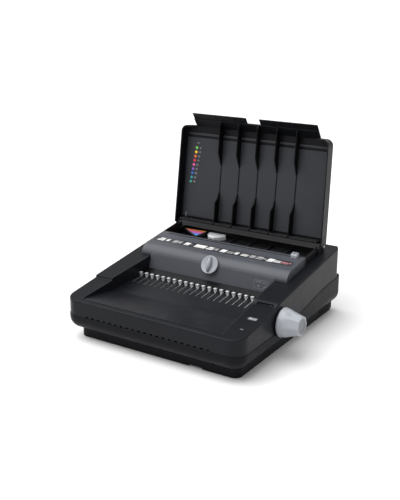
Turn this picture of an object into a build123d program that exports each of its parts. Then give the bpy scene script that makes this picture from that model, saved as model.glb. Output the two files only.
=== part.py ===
from build123d import *
import os
from math import atan, ceil, cos, degrees, hypot, pi, radians, sin, tan

# Comb binding machine, millimetres. The pieces are drawn about the machine's own centre plane:
# x = 0 in the middle of the body, y = 0 at the front of the plinth, z = 0 on the table.
# They are moved together at the end, so that the origin is the bottom centre of the whole machine.

# overall sizes
body_width = 407.0
body_depth = 443.0
front_overhang = 25.4
plinth_inset = 18.0
plinth_rear_inset = 4.6
plinth_height = 24.0
wall = 2.5
foot_height = 1.5
plinth_corner = 16.0
front_corner = 29.0
rear_corner = 25.0
underside_round = 23.0

# seam between the lower tub and the upper housing
seam_front_height = 54.0
seam_rear_height = 83.0
seam_rise_start = 120.0
seam_rise_rear = 22.6
seam_step = 0.8
rear_ledge = 11.0

# deck
deck_front_height = 86.3
deck_front_slope = 0.145
deck_band_height = 126.06
deck_rear_slope = 0.14
rear_lean = 9.0
rear_lean_height = 104.0
left_step_y = 74.0
left_step_run = 3.0
right_step_y = 105.6
right_step_run = 20.0
deck_edge_round = 3.0

# recess with the paper tray
recess_front = -12.5
recess_rear = 195.0
recess_left_gap = 1.6
recess_left_flare = 14.5
recess_right_gap = 12.6
recess_right_flare = 6.0
tray_thick = 2.2
crease_y = 81.0
crease_height = 78.0
tray_slope = 0.11

# binding element: comb pitch and hooks
comb_pitch = 14.2875
comb_count = 21
comb_centre = -6.5
hook_y = 163.0
hook_travel = 28.0
hook_height = 8.5
hook_width = 6.0
hook_stem = 3.0
slot_gap = 0.4
hook_plate_thick = 1.7
hook_plate_gap = 0.3
finger_height = 6.0

# opener knob and its shaft
opener_y = 128.6
opener_shaft_radius = 3.5
opener_teeth = 12
opener_module = 0.8
opener_rack_places = (-110.0, 100.0)
rack_lead = 2
rack_back = 0.2
stub_addendum = 0.65
knob_big_radius = 30.0
knob_small_radius = 20.5
knob_length = 44.0
knob_gap = 1.6
post_inset = 33.5
running_clearance = 0.05

# feet, screws and vents
foot_radius = 9.0
foot_plug_radius = 3.5
base_screw_radius = 2.0
vent_first = -148.0
vent_count = 21
vent_pitch = 14.0
vent_long = 8.0
vent_tall = 3.4
notch_x = 77.0
notch_wide = 31.0
dot_x = 132.0
dot_height = 19.0
dot_radius = 2.2

# throat unit
unit_inset = 27.5
panel_foot_y = 192.0
panel_foot_height = 96.0
seam_y = 201.0
seam_height = 127.0
band_y = 226.0
band_height = 144.0
strip_slope = 0.138
throat_y = 275.0
throat_gap = 5.0
throat_overrun = 13.125
strip_rear = 283.0

# punch
punch_height = 111.0
pin_wide = 8.0
pin_thick = 3.0
pin_clearance = 0.1
punch_stroke = 9.0
pin_set_back = 1.0
guide_thick = 10.0
die_thick = 6.0
plate_low = 98.0
plate_high = 124.0
beam_thick = 12.0
beam_height = 20.0
pin_seat = 6.0
side_plate_gap = 4.0
side_plate_thick = 3.0
side_plate_front = 208.0
side_plate_rear = 296.0
camshaft_radius = 5.0
cam_low_radius = 12.5
cam_angle = 150.0
cam_wide = 10.0
motor_cam_gap = 5.5
cam_gap = 0.5
gear_module = 1.0
gear_teeth = 36
pinion_teeth = 16
gear_wide = 6.0
motor_radius = 17.0
motor_length = 58.0
motor_shaft_radius = 2.5
spring_inset = 8.2
spring_radius = 3.4
spring_wire = 0.45
spring_turns = 6
spring_pocket = 7.0

# margin dial, slide and depth stop
dial_tilt = 30.0
dial_radius = 19.5
dial_thick = 4.0
dial_shaft_radius = 3.0
dial_teeth = 12
dial_module = 0.8
dial_rack_depth = 11.5
margin_travel = 6.0
wedge_slope = 0.3
wedge_x = 100.0
wedge_top = 82.0
slide_low = 68.0
stop_gap = 0.3

# storage tray and lid
storage_floor = 129.0
rib_thick = 1.6
rib_height = 4.0
gauge_tall = 9.5
storage_inset = 48.6
hinge_inset = 65.6
hinge_rise = 14.3
hinge_pin_radius = 2.5
ear_gap = 3.6
ear_thick = 4.5
lid_inset = 18.9
lid_taper = 5.6
lid_height = 222.0
lid_lean = 6.5
lid_close_angle = 99.5
lid_wall = 2.5
lid_set_back = 9.0
lid_side_depth = 21.0
lip_long = 37.0
lip_lean = 41.0
lip_step = 22.0
lip_inset = 27.5
lip_rib_wide = 1.2
lid_skirt_drop = 8.5
notch_half_width = 18.0
divider_pitch = 46.5
divider_count = 5
divider_centre = 11.5
divider_thick = 2.0

# chip drawer
drawer_inset = 8.0
drawer_wide = 74.0
drawer_height = 18.0
drawer_length = 330.0
drawer_gap = 0.5
drawer_travel = 260.0

# sliding stop for the paper's edge
guide_inset = 7.5

# controls and rear
board_parts = ((50, 30, 22, 16, 14), (80, 28, 12, 30, 9), (100, 60, 30, 12, 6), (108, 30, 16, 10, 11))
button_inset = 22.5
button_y = 57.0
button_long = 24.0
button_wide = 14.0
button_travel = 1.5
led_y = 18.0
inlet_inset = 83.5
inlet_wide = 28.0
inlet_tall = 20.0
switch_inset = 41.5
switch_wide = 15.0
switch_tall = 21.0
rear_fitting_height = 63.0
fitting_flange = 1.5
rocker_throw = 8.0
rocker_depth = 5.5
rocker_pin_radius = 1.2

# places worked out from the sizes above
half_body = body_width / 2
half_house = half_body - seam_step
half_plinth = half_body - plinth_inset
tub_front = -front_overhang
tub_rear = tub_front + body_depth
plinth_depth = tub_rear - plinth_rear_inset
house_front = tub_front + seam_step
house_rear = tub_rear - rear_ledge
seam_rise_end = tub_rear - seam_rise_rear
comb_reach = comb_pitch * (comb_count - 1) / 2
recess_left_rear = comb_reach - comb_centre + recess_left_gap
recess_left_front = recess_left_rear + recess_left_flare
recess_right_rear = comb_reach + comb_centre + recess_right_gap
recess_right_front = recess_right_rear + recess_right_flare
unit_half_width = half_body - unit_inset
throat_half_length = comb_reach + throat_overrun
side_plate_x = throat_half_length + side_plate_gap
spring_x = side_plate_x - spring_inset
post_x = half_body - post_inset
hinge_y = tub_rear - hinge_inset
hinge_height = deck_band_height + deck_rear_slope * (hinge_y - band_y) + hinge_rise
storage_rear = tub_rear - storage_inset
lid_half_width = half_body - lid_inset
lid_top_half_width = lid_half_width - lid_taper
lip_half_width = lid_top_half_width - lip_inset
skirt_half_width = lid_half_width - ear_gap - ear_thick - 3
ear_x = lid_half_width - ear_gap - ear_thick
drawer_rear = plinth_depth - drawer_inset
drawer_front = drawer_rear - drawer_wide
guide_x = throat_half_length - guide_inset
button_x = half_body - button_inset
inlet_x = -half_body + inlet_inset
switch_x = -half_body + switch_inset
hook_plate_under = tray_thick + hook_plate_gap + hook_plate_thick
rack_slope = atan(tray_slope)
rack_pitch_radius = opener_module * opener_teeth / 2
rack_teeth = 2 * ceil((hook_travel / (pi * opener_module) + 2 * rack_lead) / 2)
rack_depth = 1.25 * opener_module + rack_back
side_inner = side_plate_x - side_plate_thick / 2
gear_x0 = side_plate_x + side_plate_thick / 2 + 2
motor_x0 = side_inner - motor_length
cam_x = motor_x0 - motor_cam_gap - cam_wide / 2
floor_top = foot_height + wall
deck_top_height = deck_band_height + deck_rear_slope * (house_rear - rear_lean - band_y)
sky = 2 * deck_top_height
throat_rear = throat_y + throat_gap
pin_tip = throat_y - pin_set_back
beam_front = throat_y - guide_thick - punch_stroke - 2
beam_back = beam_front - beam_thick
shaft_y = beam_back - cam_low_radius - cam_gap
motor_height = punch_height - gear_module * (gear_teeth + pinion_teeth) / 2
knob_end = half_house + knob_gap + knob_length
stop_top = punch_height - 4.5
opener_height = (
    crease_height
    + tray_slope * (opener_y - crease_y)
    - (hook_plate_under + rack_depth + rack_pitch_radius) / cos(rack_slope)
)
to_origin = Location((-(knob_end - half_body) / 2, -(tub_front + tub_rear + fitting_flange) / 2, 0))


def box(x0, x1, y0, y1, z0, z1):
    """a block between two corners"""
    return Pos((x0 + x1) / 2, (y0 + y1) / 2, (z0 + z1) / 2) * Box(x1 - x0, y1 - y0, z1 - z0)


def rod_x(x0, x1, y, z, radius):
    """a round bar along x"""
    return Pos((x0 + x1) / 2, y, z) * Rot(0, 90, 0) * Cylinder(radius, x1 - x0)


def rod_y(x, y0, y1, z, radius):
    """a round bar along y"""
    return Pos(x, (y0 + y1) / 2, z) * Rot(90, 0, 0) * Cylinder(radius, y1 - y0)


def rod_z(x, y, z0, z1, radius):
    """a round bar along z"""
    return Pos(x, y, (z0 + z1) / 2) * Cylinder(radius, z1 - z0)


def side_slab(points, x0, x1):
    """a slab between x0 and x1 whose side view is a polygon of (y, z) points"""
    face = Plane.YZ * Polygon(*points, align=None)
    return Pos(x0, 0, 0) * extrude(face, amount=x1 - x0, dir=(1, 0, 0))


def plan_slab(points, z0, z1):
    """a slab between z0 and z1 whose plan is a polygon of (x, y) points"""
    return Pos(0, 0, z0) * extrude(Polygon(*points, align=None), amount=z1 - z0, dir=(0, 0, 1))


def front_plane(y):
    """height of the deck's front slope"""
    return deck_front_height + deck_front_slope * (y - house_front)


def rear_plane(y):
    """height of the deck's rear slope"""
    return deck_band_height + deck_rear_slope * (y - band_y)


def strip_height(y):
    """height of the strip in front of the throat, which the storage tray's rim carries on"""
    return band_height + strip_slope * (y - band_y)


def tray_height(y):
    """height of the paper tray's floor"""
    if y < crease_y:
        return crease_height + (front_plane(recess_front) - crease_height) * (crease_y - y) / (crease_y - recess_front)
    return crease_height + tray_slope * (y - crease_y)


def recess_left(y):
    """half width of the recess on the left"""
    share = (y - recess_front) / (recess_rear - recess_front)
    return recess_left_front + (recess_left_rear - recess_left_front) * share


def recess_right(y):
    """half width of the recess on the right"""
    share = (y - recess_front) / (recess_rear - recess_front)
    return recess_right_front + (recess_right_rear - recess_right_front) * share


def comb_places():
    """x of each hook, counted from the left"""
    first = comb_centre - comb_pitch * (comb_count - 1) / 2
    return [first + comb_pitch * i for i in range(comb_count)]


def punch_places():
    """x of each punch pin, centred on the throat"""
    first = -comb_pitch * (comb_count - 1) / 2
    return [first + comb_pitch * i for i in range(comb_count)]


def divider_places():
    """x of each divider in the lid and the storage tray"""
    first = divider_centre - divider_pitch * (divider_count - 1) / 2
    return [first + divider_pitch * i for i in range(divider_count)]


def lip_rib_places():
    """x of the four short ribs on the lid's lip"""
    return [divider_centre - 11.5 + side * divider_pitch * step for side in (-1, 1) for step in (1, 2)]


def outline(half, y0, y1, round_front, round_rear):
    """plan of a box with rounded corners"""
    face = Polygon((-half, y0), (half, y0), (half, y1), (-half, y1), align=None)
    corners = face.vertices().sort_by(Axis.Y)
    face = fillet(corners[:2], round_front)
    corners = face.vertices().sort_by(Axis.Y)[-2:]
    return fillet(corners, round_rear)


def prism(face, z0, z1):
    """a face stood up between two heights"""
    return Pos(0, 0, z0) * extrude(face, amount=z1 - z0, dir=(0, 0, 1))


def under_seam(drop=0.0):
    """everything below the line where the tub and the housing meet"""
    run = seam_rise_end - seam_rise_start
    low = seam_front_height - drop
    high = seam_rear_height - drop
    far = 2 * body_depth
    curve = Bezier(
        (seam_rise_start, low),
        (seam_rise_start + run * 0.4, low),
        (seam_rise_end - run * 0.4, high),
        (seam_rise_end, high),
    )
    rest = Polyline((seam_rise_end, high), (far, high), (far, -50), (-far, -50), (-far, low), (seam_rise_start, low))
    face = Plane.YZ * make_face([*curve.edges(), *rest.edges()])
    return Pos(-far, 0, 0) * extrude(face, amount=2 * far, dir=(1, 0, 0))


def deck_half(right, drop, x0, x1):
    """everything below the deck on one side of the machine"""
    start = right_step_y if right else left_step_y
    run = right_step_run if right else left_step_run
    foot = (start, front_plane(start) - drop)
    top = (start + run, rear_plane(start + run) - drop)
    rear_top = house_rear - rear_lean
    step = Bezier(
        foot,
        (foot[0] + run * 0.5, foot[1] + run * 0.5 * deck_front_slope),
        (top[0] - run * 0.5, top[1] - run * 0.5 * deck_rear_slope),
        top,
    )
    rest = Polyline(
        top,
        (rear_top - drop, rear_plane(rear_top) - drop),
        (house_rear - drop, rear_lean_height),
        (house_rear - drop, 0),
        (tub_front - 50, 0),
        (tub_front - 50, front_plane(tub_front - 50) - drop),
        foot,
    )
    face = Plane.YZ * make_face([*step.edges(), *rest.edges()])
    return Pos(x0, 0, 0) * extrude(face, amount=x1 - x0, dir=(1, 0, 0))


def under_deck(drop=0.0):
    """everything below the deck and in front of the leaning rear wall"""
    far = body_width
    return deck_half(False, drop, -far, 0) + deck_half(True, drop, 0, far)


def tub_form(inset):
    """the tub's form, moved inwards by inset"""
    plan = outline(half_body - inset, tub_front + inset, tub_rear - inset, front_corner - inset, rear_corner - inset)
    shell = prism(plan, plinth_height + inset, deck_top_height)
    shell = fillet(shell.edges().group_by(Axis.Z)[0], underside_round - inset)
    foot_plan = outline(half_plinth - inset, inset, plinth_depth - inset, plinth_corner - inset, plinth_corner - inset)
    return shell + prism(foot_plan, foot_height + inset, plinth_height + underside_round)


def house_form(inset):
    """the upper housing's form, moved inwards by inset"""
    plan = outline(half_house - inset, house_front + inset, house_rear - inset, front_corner - inset, rear_corner - inset)
    return prism(plan, 0, sky) & under_deck(inset)


def deck_outline_edges(solid):
    """the edges that run round the top of the housing"""
    edges = []
    for edge in solid.edges():
        middle = edge @ 0.5
        on_side = abs(abs(middle.X) - half_house) < 0.02
        on_end = middle.Y < house_front + front_corner or middle.Y > house_rear - rear_lean - rear_corner
        upright = abs((edge @ 0).X - (edge @ 1).X) < 0.01 and abs((edge @ 0).Y - (edge @ 1).Y) < rear_lean + 1
        if middle.Z > seam_front_height + 10 and (on_side or on_end) and not upright:
            edges.append(edge)
    return edges


def recess_plan(grow, rear):
    """plan of the recess, widened by grow and ended at rear"""
    front = recess_front - grow
    return [
        (-recess_left(front) - grow, front),
        (recess_right(front) + grow, front),
        (recess_right(rear) + grow, rear),
        (-recess_left(rear) - grow, rear),
    ]


def over_tray(drop):
    """everything above the paper tray's floor, moved down by drop"""
    points = [
        (recess_front - 20, tray_height(recess_front) + 0.6 - drop),
        (recess_front, tray_height(recess_front) - drop),
        (crease_y, tray_height(crease_y) - drop),
        (recess_rear + 20, tray_height(recess_rear + 20) - drop),
        (recess_rear + 20, sky),
        (recess_front - 20, sky),
    ]
    return side_slab(points, -body_width, body_width)


def make_base_pan():
    """lower tub with its plinth, open at the top"""
    pan = (tub_form(0) - tub_form(wall)) & under_seam()
    ledge = box(-half_body, half_body, house_rear - 6, tub_rear, seam_rear_height - wall, seam_rear_height)
    pan += ledge & tub_form(wall / 2)
    pan -= box(notch_x, notch_x + notch_wide, -5, wall + 5, 0, foot_height + wall + 1)
    face_x = half_plinth - wall - 5
    pan -= box(face_x, half_plinth + 5, drawer_front, drawer_rear, floor_top + 0.2, floor_top + drawer_height + 1)
    for x, wide, tall in ((inlet_x, inlet_wide, inlet_tall), (switch_x, switch_wide, switch_tall)):
        low = rear_fitting_height - tall / 2
        pan -= box(x - wide / 2, x + wide / 2, tub_rear - 10, tub_rear + 5, low, low + tall)
    for x, y in foot_places():
        pan -= rod_z(x, y, 0, 10, foot_plug_radius + running_clearance)
    for x, y in base_screw_places():
        pan -= rod_z(x, y, 0, 10, base_screw_radius + running_clearance)
    pan -= rod_y(dot_x, -5, wall + 5, dot_height, dot_radius)
    return pan


def make_main_housing():
    """upper housing: front wall, arms and rear deck around the recess and the throat unit"""
    form = house_form(0)
    form = fillet(deck_outline_edges(form), deck_edge_round)
    shell = form - under_seam() - house_form(wall)
    shell -= plan_slab(recess_plan(tray_thick, recess_rear + 10), deck_front_height - 20, sky)
    shell -= box(-unit_half_width, unit_half_width, seam_y, storage_rear, deck_front_height, sky)
    shell -= rod_x(half_house - 10, half_house + 5, opener_y, opener_height, opener_shaft_radius + 1.5)
    groove_low = front_plane(right_step_y)
    shell -= plan_slab(
        [(recess_right_front + 4, right_step_y + 2), (half_house - 9, right_step_y + 2),
         (half_house - 9, right_step_y + 11), (recess_right_front + 4, right_step_y + 11)],
        groove_low - 1.2, groove_low + 20)
    shell -= key_form(button_long + 0.5, button_wide + 0.5, 40)
    shell -= led_form(0.1)
    for i in range(vent_count):
        x = vent_first + vent_pitch * i
        low = seam_front_height + 0.6
        shell -= box(x, x + vent_long, tub_front - 2, tub_front + wall + 3, low, low + vent_tall)
    return shell


def on_deck(x, y):
    """place on the front slope, square to it"""
    return Pos(x, y, front_plane(y)) * Rot(degrees(atan(deck_front_slope)), 0, 0)


def key_form(long, wide, deep):
    """a rounded key through the deck"""
    return on_deck(button_x, button_y) * Pos(0, 0, -deep / 2) * extrude(RectangleRounded(long, wide, wide / 2.2), deep)


def led_form(grow):
    """the light's narrow lens"""
    return on_deck(button_x, led_y) * Pos(0, 0, -wall - 3) * extrude(RectangleRounded(7 + grow, 3 + grow, 1.2), wall + 3)


def foot_places():
    """middle of each rubber foot"""
    return [(x, y) for x in (-half_plinth + 26, half_plinth - 26) for y in (26, plinth_depth - 26)]


def base_screw_places():
    """middle of each screw through the plinth's floor"""
    return [(x, y) for x in (-half_plinth + 14, half_plinth - 14) for y in (100, 190, 300)]


def make_paper_tray():
    """dished tray with side walls and a slot for each hook"""
    outer = plan_slab(recess_plan(tray_thick, recess_rear), 40, 200) & under_deck(0) & over_tray(tray_thick)
    inner = plan_slab(recess_plan(0, recess_rear + 1), 40, 200) & over_tray(0)
    front_lip = box(-body_width, body_width, recess_front - 30, recess_front, 0, 200)
    tray = outer - inner - front_lip
    for x in comb_places():
        wide = hook_stem / 2 + slot_gap
        tray -= box(x - wide, x + wide, hook_y - hook_travel - 6, hook_y + 4, 60, 110)
    return tray


def tilt_tray(x, y, z):
    """place whose y runs up the paper tray's slope"""
    return Pos(x, y, z) * Rot(degrees(atan(tray_slope)), 0, 0)


def make_finger_comb():
    """fixed comb behind the hooks: a sloping plate with a finger beside every hook"""
    low = tray_height(hook_y + 6)
    high_y = panel_foot_y + 1
    points = [
        (hook_y + 6, low),
        (high_y, tray_height(high_y)),
        (high_y, panel_foot_height - 2),
        (high_y, panel_foot_height),
        (hook_y + 7, low + 2.4),
        (hook_y + 6, low + 2.4),
    ]
    first, last = comb_places()[0], comb_places()[-1]
    left = max(first - 6, -recess_left(recess_rear) + 0.3)
    comb = side_slab(points, left, recess_right(recess_rear) - 0.3)
    for x in comb_places():
        comb += box(x + 3.4, x + 6.2, hook_y + 6, hook_y + 8, low + 1.5, low + finger_height)
    return comb


def hook_form(x):
    """one hook: a stem through the slot and a wider head with a rounded nose"""
    base = tray_height(hook_y)
    low = base - tray_thick - hook_plate_gap - hook_plate_thick + 0.1
    stem = box(x - hook_stem / 2, x + hook_stem / 2, hook_y - 2, hook_y + 2, low, base + 2)
    head = box(x - hook_width / 2, x + hook_width / 2, hook_y - 2, hook_y + 1.5, base + 1, base + hook_height)
    nose = box(x - hook_width / 2, x + hook_width / 2, hook_y - 4.5, hook_y, base + hook_height - 2.5, base + hook_height)
    nose = fillet(nose.edges().filter_by(Axis.X).sort_by(Axis.Y)[0], 1.2)
    return stem + head + nose


def make_hook_plate():
    """moving plate under the tray with one hook for each ring of the comb"""
    centre_y = (opener_y + hook_y + 12) / 2
    length = hook_y + 12 - opener_y + 14
    drop = tray_thick + hook_plate_gap + hook_plate_thick / 2
    first, last = comb_places()[0], comb_places()[-1]
    plate = tilt_tray((first + last) / 2, centre_y, tray_height(centre_y) - drop / cos(atan(tray_slope)))
    plate *= Box(last - first + 6.4, length, hook_plate_thick)
    for x in comb_places():
        plate += hook_form(x)
    return plate


def gear_face(module, teeth, bore=0.0, backlash=0.12):
    """an involute gear of 20 degree pressure angle as a flat face, with a tooth centred on its x axis"""
    pitch = module * teeth / 2
    base = pitch * cos(radians(20))
    tip = pitch + module
    root = pitch - 1.25 * module
    start = max(base, root)

    def spread(radius):
        """involute angle at a radius"""
        lean = (radius * radius / base / base - 1) ** 0.5 if radius > base else 0.0
        return lean - atan(lean)

    half_at_pitch = pi / 2 / teeth - backlash / 2 / pitch
    flank = []
    for i in range(6):
        radius = start + (tip - start) * i / 5
        angle = half_at_pitch + spread(pitch) - spread(radius)
        flank.append((radius, angle))
    points = []
    for tooth in range(teeth):
        turn = 2 * pi * tooth / teeth
        points.append((root, turn - flank[0][1]))
        points += [(radius, turn - angle) for radius, angle in flank]
        points += [(radius, turn + angle) for radius, angle in reversed(flank)]
        points.append((root, turn + flank[0][1]))
    corners = [(radius * cos(angle), radius * sin(angle)) for radius, angle in points]
    clean = [corners[0]]
    for corner in corners[1:]:
        if hypot(corner[0] - clean[-1][0], corner[1] - clean[-1][1]) > 0.01:
            clean.append(corner)
    face = Polygon(*clean, align=None)
    return face - Circle(bore) if bore else face


def gear_x(face, x0, wide, y, z, turn):
    """a gear whose axis runs along x, turned so that its marked tooth points turn degrees from +y towards +z"""
    return Pos(x0, y, z) * Rot(turn, 0, 0) * extrude(Plane.YZ * face, amount=wide, dir=(1, 0, 0))


def rack_points(module, count, height, backlash=0.12):
    """outline of a rack with an even count of stub teeth pointing down, pitch line y = 0, centred on a gap"""
    pitch = pi * module
    slope = tan(radians(20))
    half = pitch / 4 - backlash / 2
    points = [(-pitch * count / 2, height), (-pitch * count / 2, 1.25 * module)]
    for i in range(count):
        middle = (i + 0.5 - count / 2) * pitch
        points += [
            (middle - half - 1.25 * module * slope, 1.25 * module),
            (middle - half + stub_addendum * module * slope, -stub_addendum * module),
            (middle + half - stub_addendum * module * slope, -stub_addendum * module),
            (middle + half + 1.25 * module * slope, 1.25 * module),
        ]
    points += [(pitch * count / 2, 1.25 * module), (pitch * count / 2, height)]
    return points


def make_opener_racks():
    """two racks under the hook plate, teeth down, in mesh with the shaft's pinions"""
    racks = None
    for x in opener_rack_places:
        outline_points = rack_points(opener_module, rack_teeth, rack_depth)
        face = Plane.YZ * Polygon(*outline_points, align=None)
        rack = Pos(-3, 0, 0) * extrude(face, amount=6, dir=(1, 0, 0))
        offset = pi * opener_module * (rack_teeth / 2 - rack_lead)
        middle = Pos(x, opener_y, opener_height) * Rot(degrees(rack_slope), 0, 0) * Pos(0, offset, rack_pitch_radius)
        rack = middle * rack
        racks = rack if racks is None else racks + rack
    return racks


def make_opener_pinions():
    """two pinions on the opener shaft"""
    face = gear_face(opener_module, opener_teeth, opener_shaft_radius)
    turn = 90 + degrees(rack_slope)
    pinions = [gear_x(face, x - 3, 6, opener_y, opener_height, turn) for x in opener_rack_places]
    return Compound(children=pinions)


def make_opener_shaft():
    """shaft across the machine, from the left post to the knob"""
    return rod_x(-post_x - 5, half_house + knob_gap + 12, opener_y, opener_height, opener_shaft_radius)


def make_opener_posts():
    """two posts that carry the opener shaft"""
    posts = []
    for x in (-post_x, post_x):
        post = box(x - 2, x + 2, opener_y - 8, opener_y + 8, floor_top, opener_height + 8)
        post += box(x - 8, x + 8, opener_y - 8, opener_y + 8, floor_top, floor_top + 3)
        post -= rod_x(x - 3, x + 3, opener_y, opener_height, opener_shaft_radius + running_clearance)
        posts.append(post)
    return Compound(children=posts)


def make_plate_guides():
    """two rails under the tray that hold the hook plate up against it"""
    slope = cos(atan(tray_slope))
    rails = []
    first, last = comb_places()[0] - 3.2, comb_places()[-1] + 3.2
    centre = hook_y - hook_travel / 2 - 10
    for x, inward in ((first, 1), (last, -1)):
        under = tray_height(centre) - tray_thick / slope
        depth = hook_plate_gap + hook_plate_thick + 0.3
        wall_x = x - inward * 1.3
        upright = tilt_tray(wall_x, centre, under - (depth + 1.6) / 2 / slope) * Box(2, 84, depth + 1.6)
        shelf = tilt_tray(x + inward * 0.7, centre, under - (depth + 0.8) / slope) * Box(4.5, 84, 1.6)
        rails.append(upright + shelf)
    return Compound(children=rails)


def make_opener_knob():
    """conical knob on the right wall, eight shallow flats round it"""
    x0 = half_house + knob_gap
    knob = Pos(x0 + knob_length / 2, opener_y, opener_height) * Rot(0, 90, 0)
    knob *= Cone(knob_big_radius, knob_small_radius, knob_length)
    knob = fillet(knob.edges().sort_by(Axis.X)[0], 5)
    knob -= rod_x(knob_end - 3, knob_end + 1, opener_y, opener_height, knob_small_radius - 4)
    knob -= rod_x(x0 - 1, x0 + 12, opener_y, opener_height, opener_shaft_radius)
    return knob


def make_knob_cap():
    """disc set in the end of the knob"""
    cap = rod_x(knob_end - 3, knob_end - 0.6, opener_y, opener_height, knob_small_radius - 4.2)
    return cap - rod_x(knob_end - 1.4, knob_end, opener_y, opener_height, knob_small_radius - 9)


def make_front_panel():
    """sloping panel behind the hooks, up to the seam under the band"""
    points = [
        (panel_foot_y, panel_foot_height),
        (seam_y, seam_height),
        (seam_y + 2.6, seam_height),
        (panel_foot_y + 2.6, panel_foot_height),
    ]
    panel = side_slab(points, -recess_left(recess_rear) + 0.2, recess_right(recess_rear) - 0.2)
    return panel - dial_place(0) * Cylinder(dial_shaft_radius + 3, 60)


def band_points(drop):
    """start, middle and end of the band's curve, moved inwards by drop"""
    lean = hypot(seam_y - panel_foot_y, seam_height - panel_foot_height)
    start_y, start_z = seam_y + drop, seam_height
    end_y, end_z = band_y + drop * 0.2, band_height - drop
    bulge = 4.6 - drop * 0.35
    middle_y, middle_z = (start_y + end_y) / 2 - bulge * 0.56, (start_z + end_z) / 2 + bulge * 0.83
    return (start_y, start_z), (middle_y, middle_z), (end_y, end_z)


def unit_slab(drop, x0, x1, rear, low):
    """slab under the band and the strip"""
    start, middle, end = band_points(drop)
    arc = ThreePointArc(start, middle, end)
    top = (rear, strip_height(rear) - drop)
    rest = Polyline(end, top, (rear, low), (start[0], low), start)
    face = Plane.YZ * make_face([*arc.edges(), *rest.edges()])
    return Pos(x0, 0, 0) * extrude(face, amount=x1 - x0, dir=(1, 0, 0))


def make_throat_cover():
    """band, strip and end walls over the punch, with the throat cut through it"""
    low = rear_plane(seam_y) - wall - 1
    cover = unit_slab(0, -unit_half_width, unit_half_width, strip_rear, low)
    cover -= unit_slab(wall, -unit_half_width + wall, unit_half_width - wall, strip_rear + 5, low - 1)
    front = box(-recess_left(recess_rear), recess_right(recess_rear), seam_y - 5, seam_y + wall + 1, low - 1, seam_height)
    cover -= front
    cover -= box(-throat_half_length, throat_half_length, throat_y, throat_rear, low, sky)
    cover -= dial_place(0) * Cylinder(dial_shaft_radius + 3, 60)
    return cover


def dial_place(depth):
    """place on the dial's axis, depth inside the seam, with z along the axis and inwards"""
    inwards = Rot(-90 - dial_tilt, 0, 0)
    return Pos(0, seam_y, seam_height) * inwards * Pos(0, 0, depth)


def make_dial_bush():
    """bush for the dial's shaft in the seam"""
    bush = dial_place(4.5) * Cylinder(dial_shaft_radius + 3, 8)
    bush -= dial_place(0) * Cylinder(dial_shaft_radius + running_clearance, 60)
    return bush


def make_margin_dial():
    """dial with a grip bar across it"""
    disc = dial_place(-1.5 - dial_thick / 2) * Cylinder(dial_radius, dial_thick)
    disc = fillet(disc.edges().filter_by(GeomType.CIRCLE), 1)
    bar = dial_place(-1.5 - dial_thick - 4) * Box(6.5, 2 * dial_radius - 5, 9)
    bar = fillet(bar.edges().filter_by(GeomType.LINE), 1.5)
    return disc + bar - dial_place(-1.5) * Cylinder(dial_shaft_radius, 6)


def make_dial_shaft():
    """short shaft with the pinion that moves the margin slide"""
    shaft = dial_place(5.8) * Cylinder(dial_shaft_radius, 20.6)
    gear = dial_place(dial_rack_depth - 2) * extrude(gear_face(dial_module, dial_teeth), 4)
    return shaft + gear


def make_margin_slide():
    """bent plate: a rack driven by the dial, an arm under the beam and two wedges under the stop"""
    radius = dial_module * dial_teeth / 2
    face = Polygon(*rack_points(dial_module, 12, 6.0), align=None)
    rack = dial_place(dial_rack_depth - 2) * Pos(0, radius, 0) * extrude(face, 4)
    leg_y = seam_y + 1.5
    leg = box(-12, 12, leg_y, leg_y + 2.5, slide_low, seam_height - 13.5)
    floor = box(-12, 12, leg_y, throat_rear + 2, slide_low, slide_low + 3)
    bar = box(-wedge_x - 14, wedge_x + 14, throat_y - 2, throat_rear + 2, slide_low, slide_low + 6)
    slide = rack + leg + floor + bar
    for x in (-wedge_x, wedge_x):
        slide += wedge_form(x, slide_low + 5, 0)
    return slide


def wedge_form(x, low, lift):
    """a wedge that rises along +x, under the stop"""
    half = 12
    base = wedge_top - wedge_slope * half
    face = Plane.XZ * Polygon((x - half, low), (x + half, low), (x + half, base + 2 * wedge_slope * half + lift),
                              (x - half, base + lift), align=None)
    return Pos(0, throat_rear, 0) * extrude(face, amount=throat_gap, dir=(0, -1, 0))


def make_depth_stop():
    """bar at the bottom of the throat that the paper's edge rests on"""
    y0, y1 = throat_y + stop_gap, throat_rear - stop_gap
    stop = box(-throat_half_length + 4, throat_half_length - 4, y0, y1, stop_top - 10, stop_top)
    for x in (-wedge_x, wedge_x):
        foot = box(x - 18, x + 18, y0, y1, wedge_top - wedge_slope * 18, stop_top - 9)
        cut = Plane.XZ * Polygon(
            (x - 40, wedge_top + stop_gap - wedge_slope * 40), (x + 40, wedge_top + stop_gap + wedge_slope * 40),
            (x + 40, 0), (x - 40, 0), align=None)
        foot -= Pos(0, throat_rear + 5, 0) * extrude(cut, amount=2 * throat_gap + 10, dir=(0, -1, 0))
        stop += foot
    return stop


def punch_holes(y0, y1, grow):
    """one rectangular hole for every pin"""
    w, t = pin_wide / 2 + grow, pin_thick / 2 + grow
    return [box(x - w, x + w, y0, y1, punch_height - t, punch_height + t) for x in punch_places()]


def make_guide_plate():
    """thick plate in front of the throat that guides the pins"""
    y0 = throat_y - guide_thick
    plate = box(-side_inner, side_inner, y0, throat_y, plate_low, plate_high)
    for x in (-spring_x, spring_x):
        plate -= rod_y(x, y0 - 1, y0 + spring_pocket, punch_height, spring_radius + 0.4)
    return plate - punch_holes(y0 - 1, throat_y + 1, pin_clearance)


def make_die_plate():
    """hardened plate behind the throat that the pins punch into"""
    plate = box(-side_inner, side_inner, throat_rear, throat_rear + die_thick, plate_low, plate_high)
    return plate - punch_holes(throat_rear - 1, throat_rear + die_thick + 1, pin_clearance)


def make_punch_pins():
    """one rectangular pin for every ring of the comb"""
    return Compound(children=punch_holes(beam_front - pin_seat, pin_tip, 0))


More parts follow.
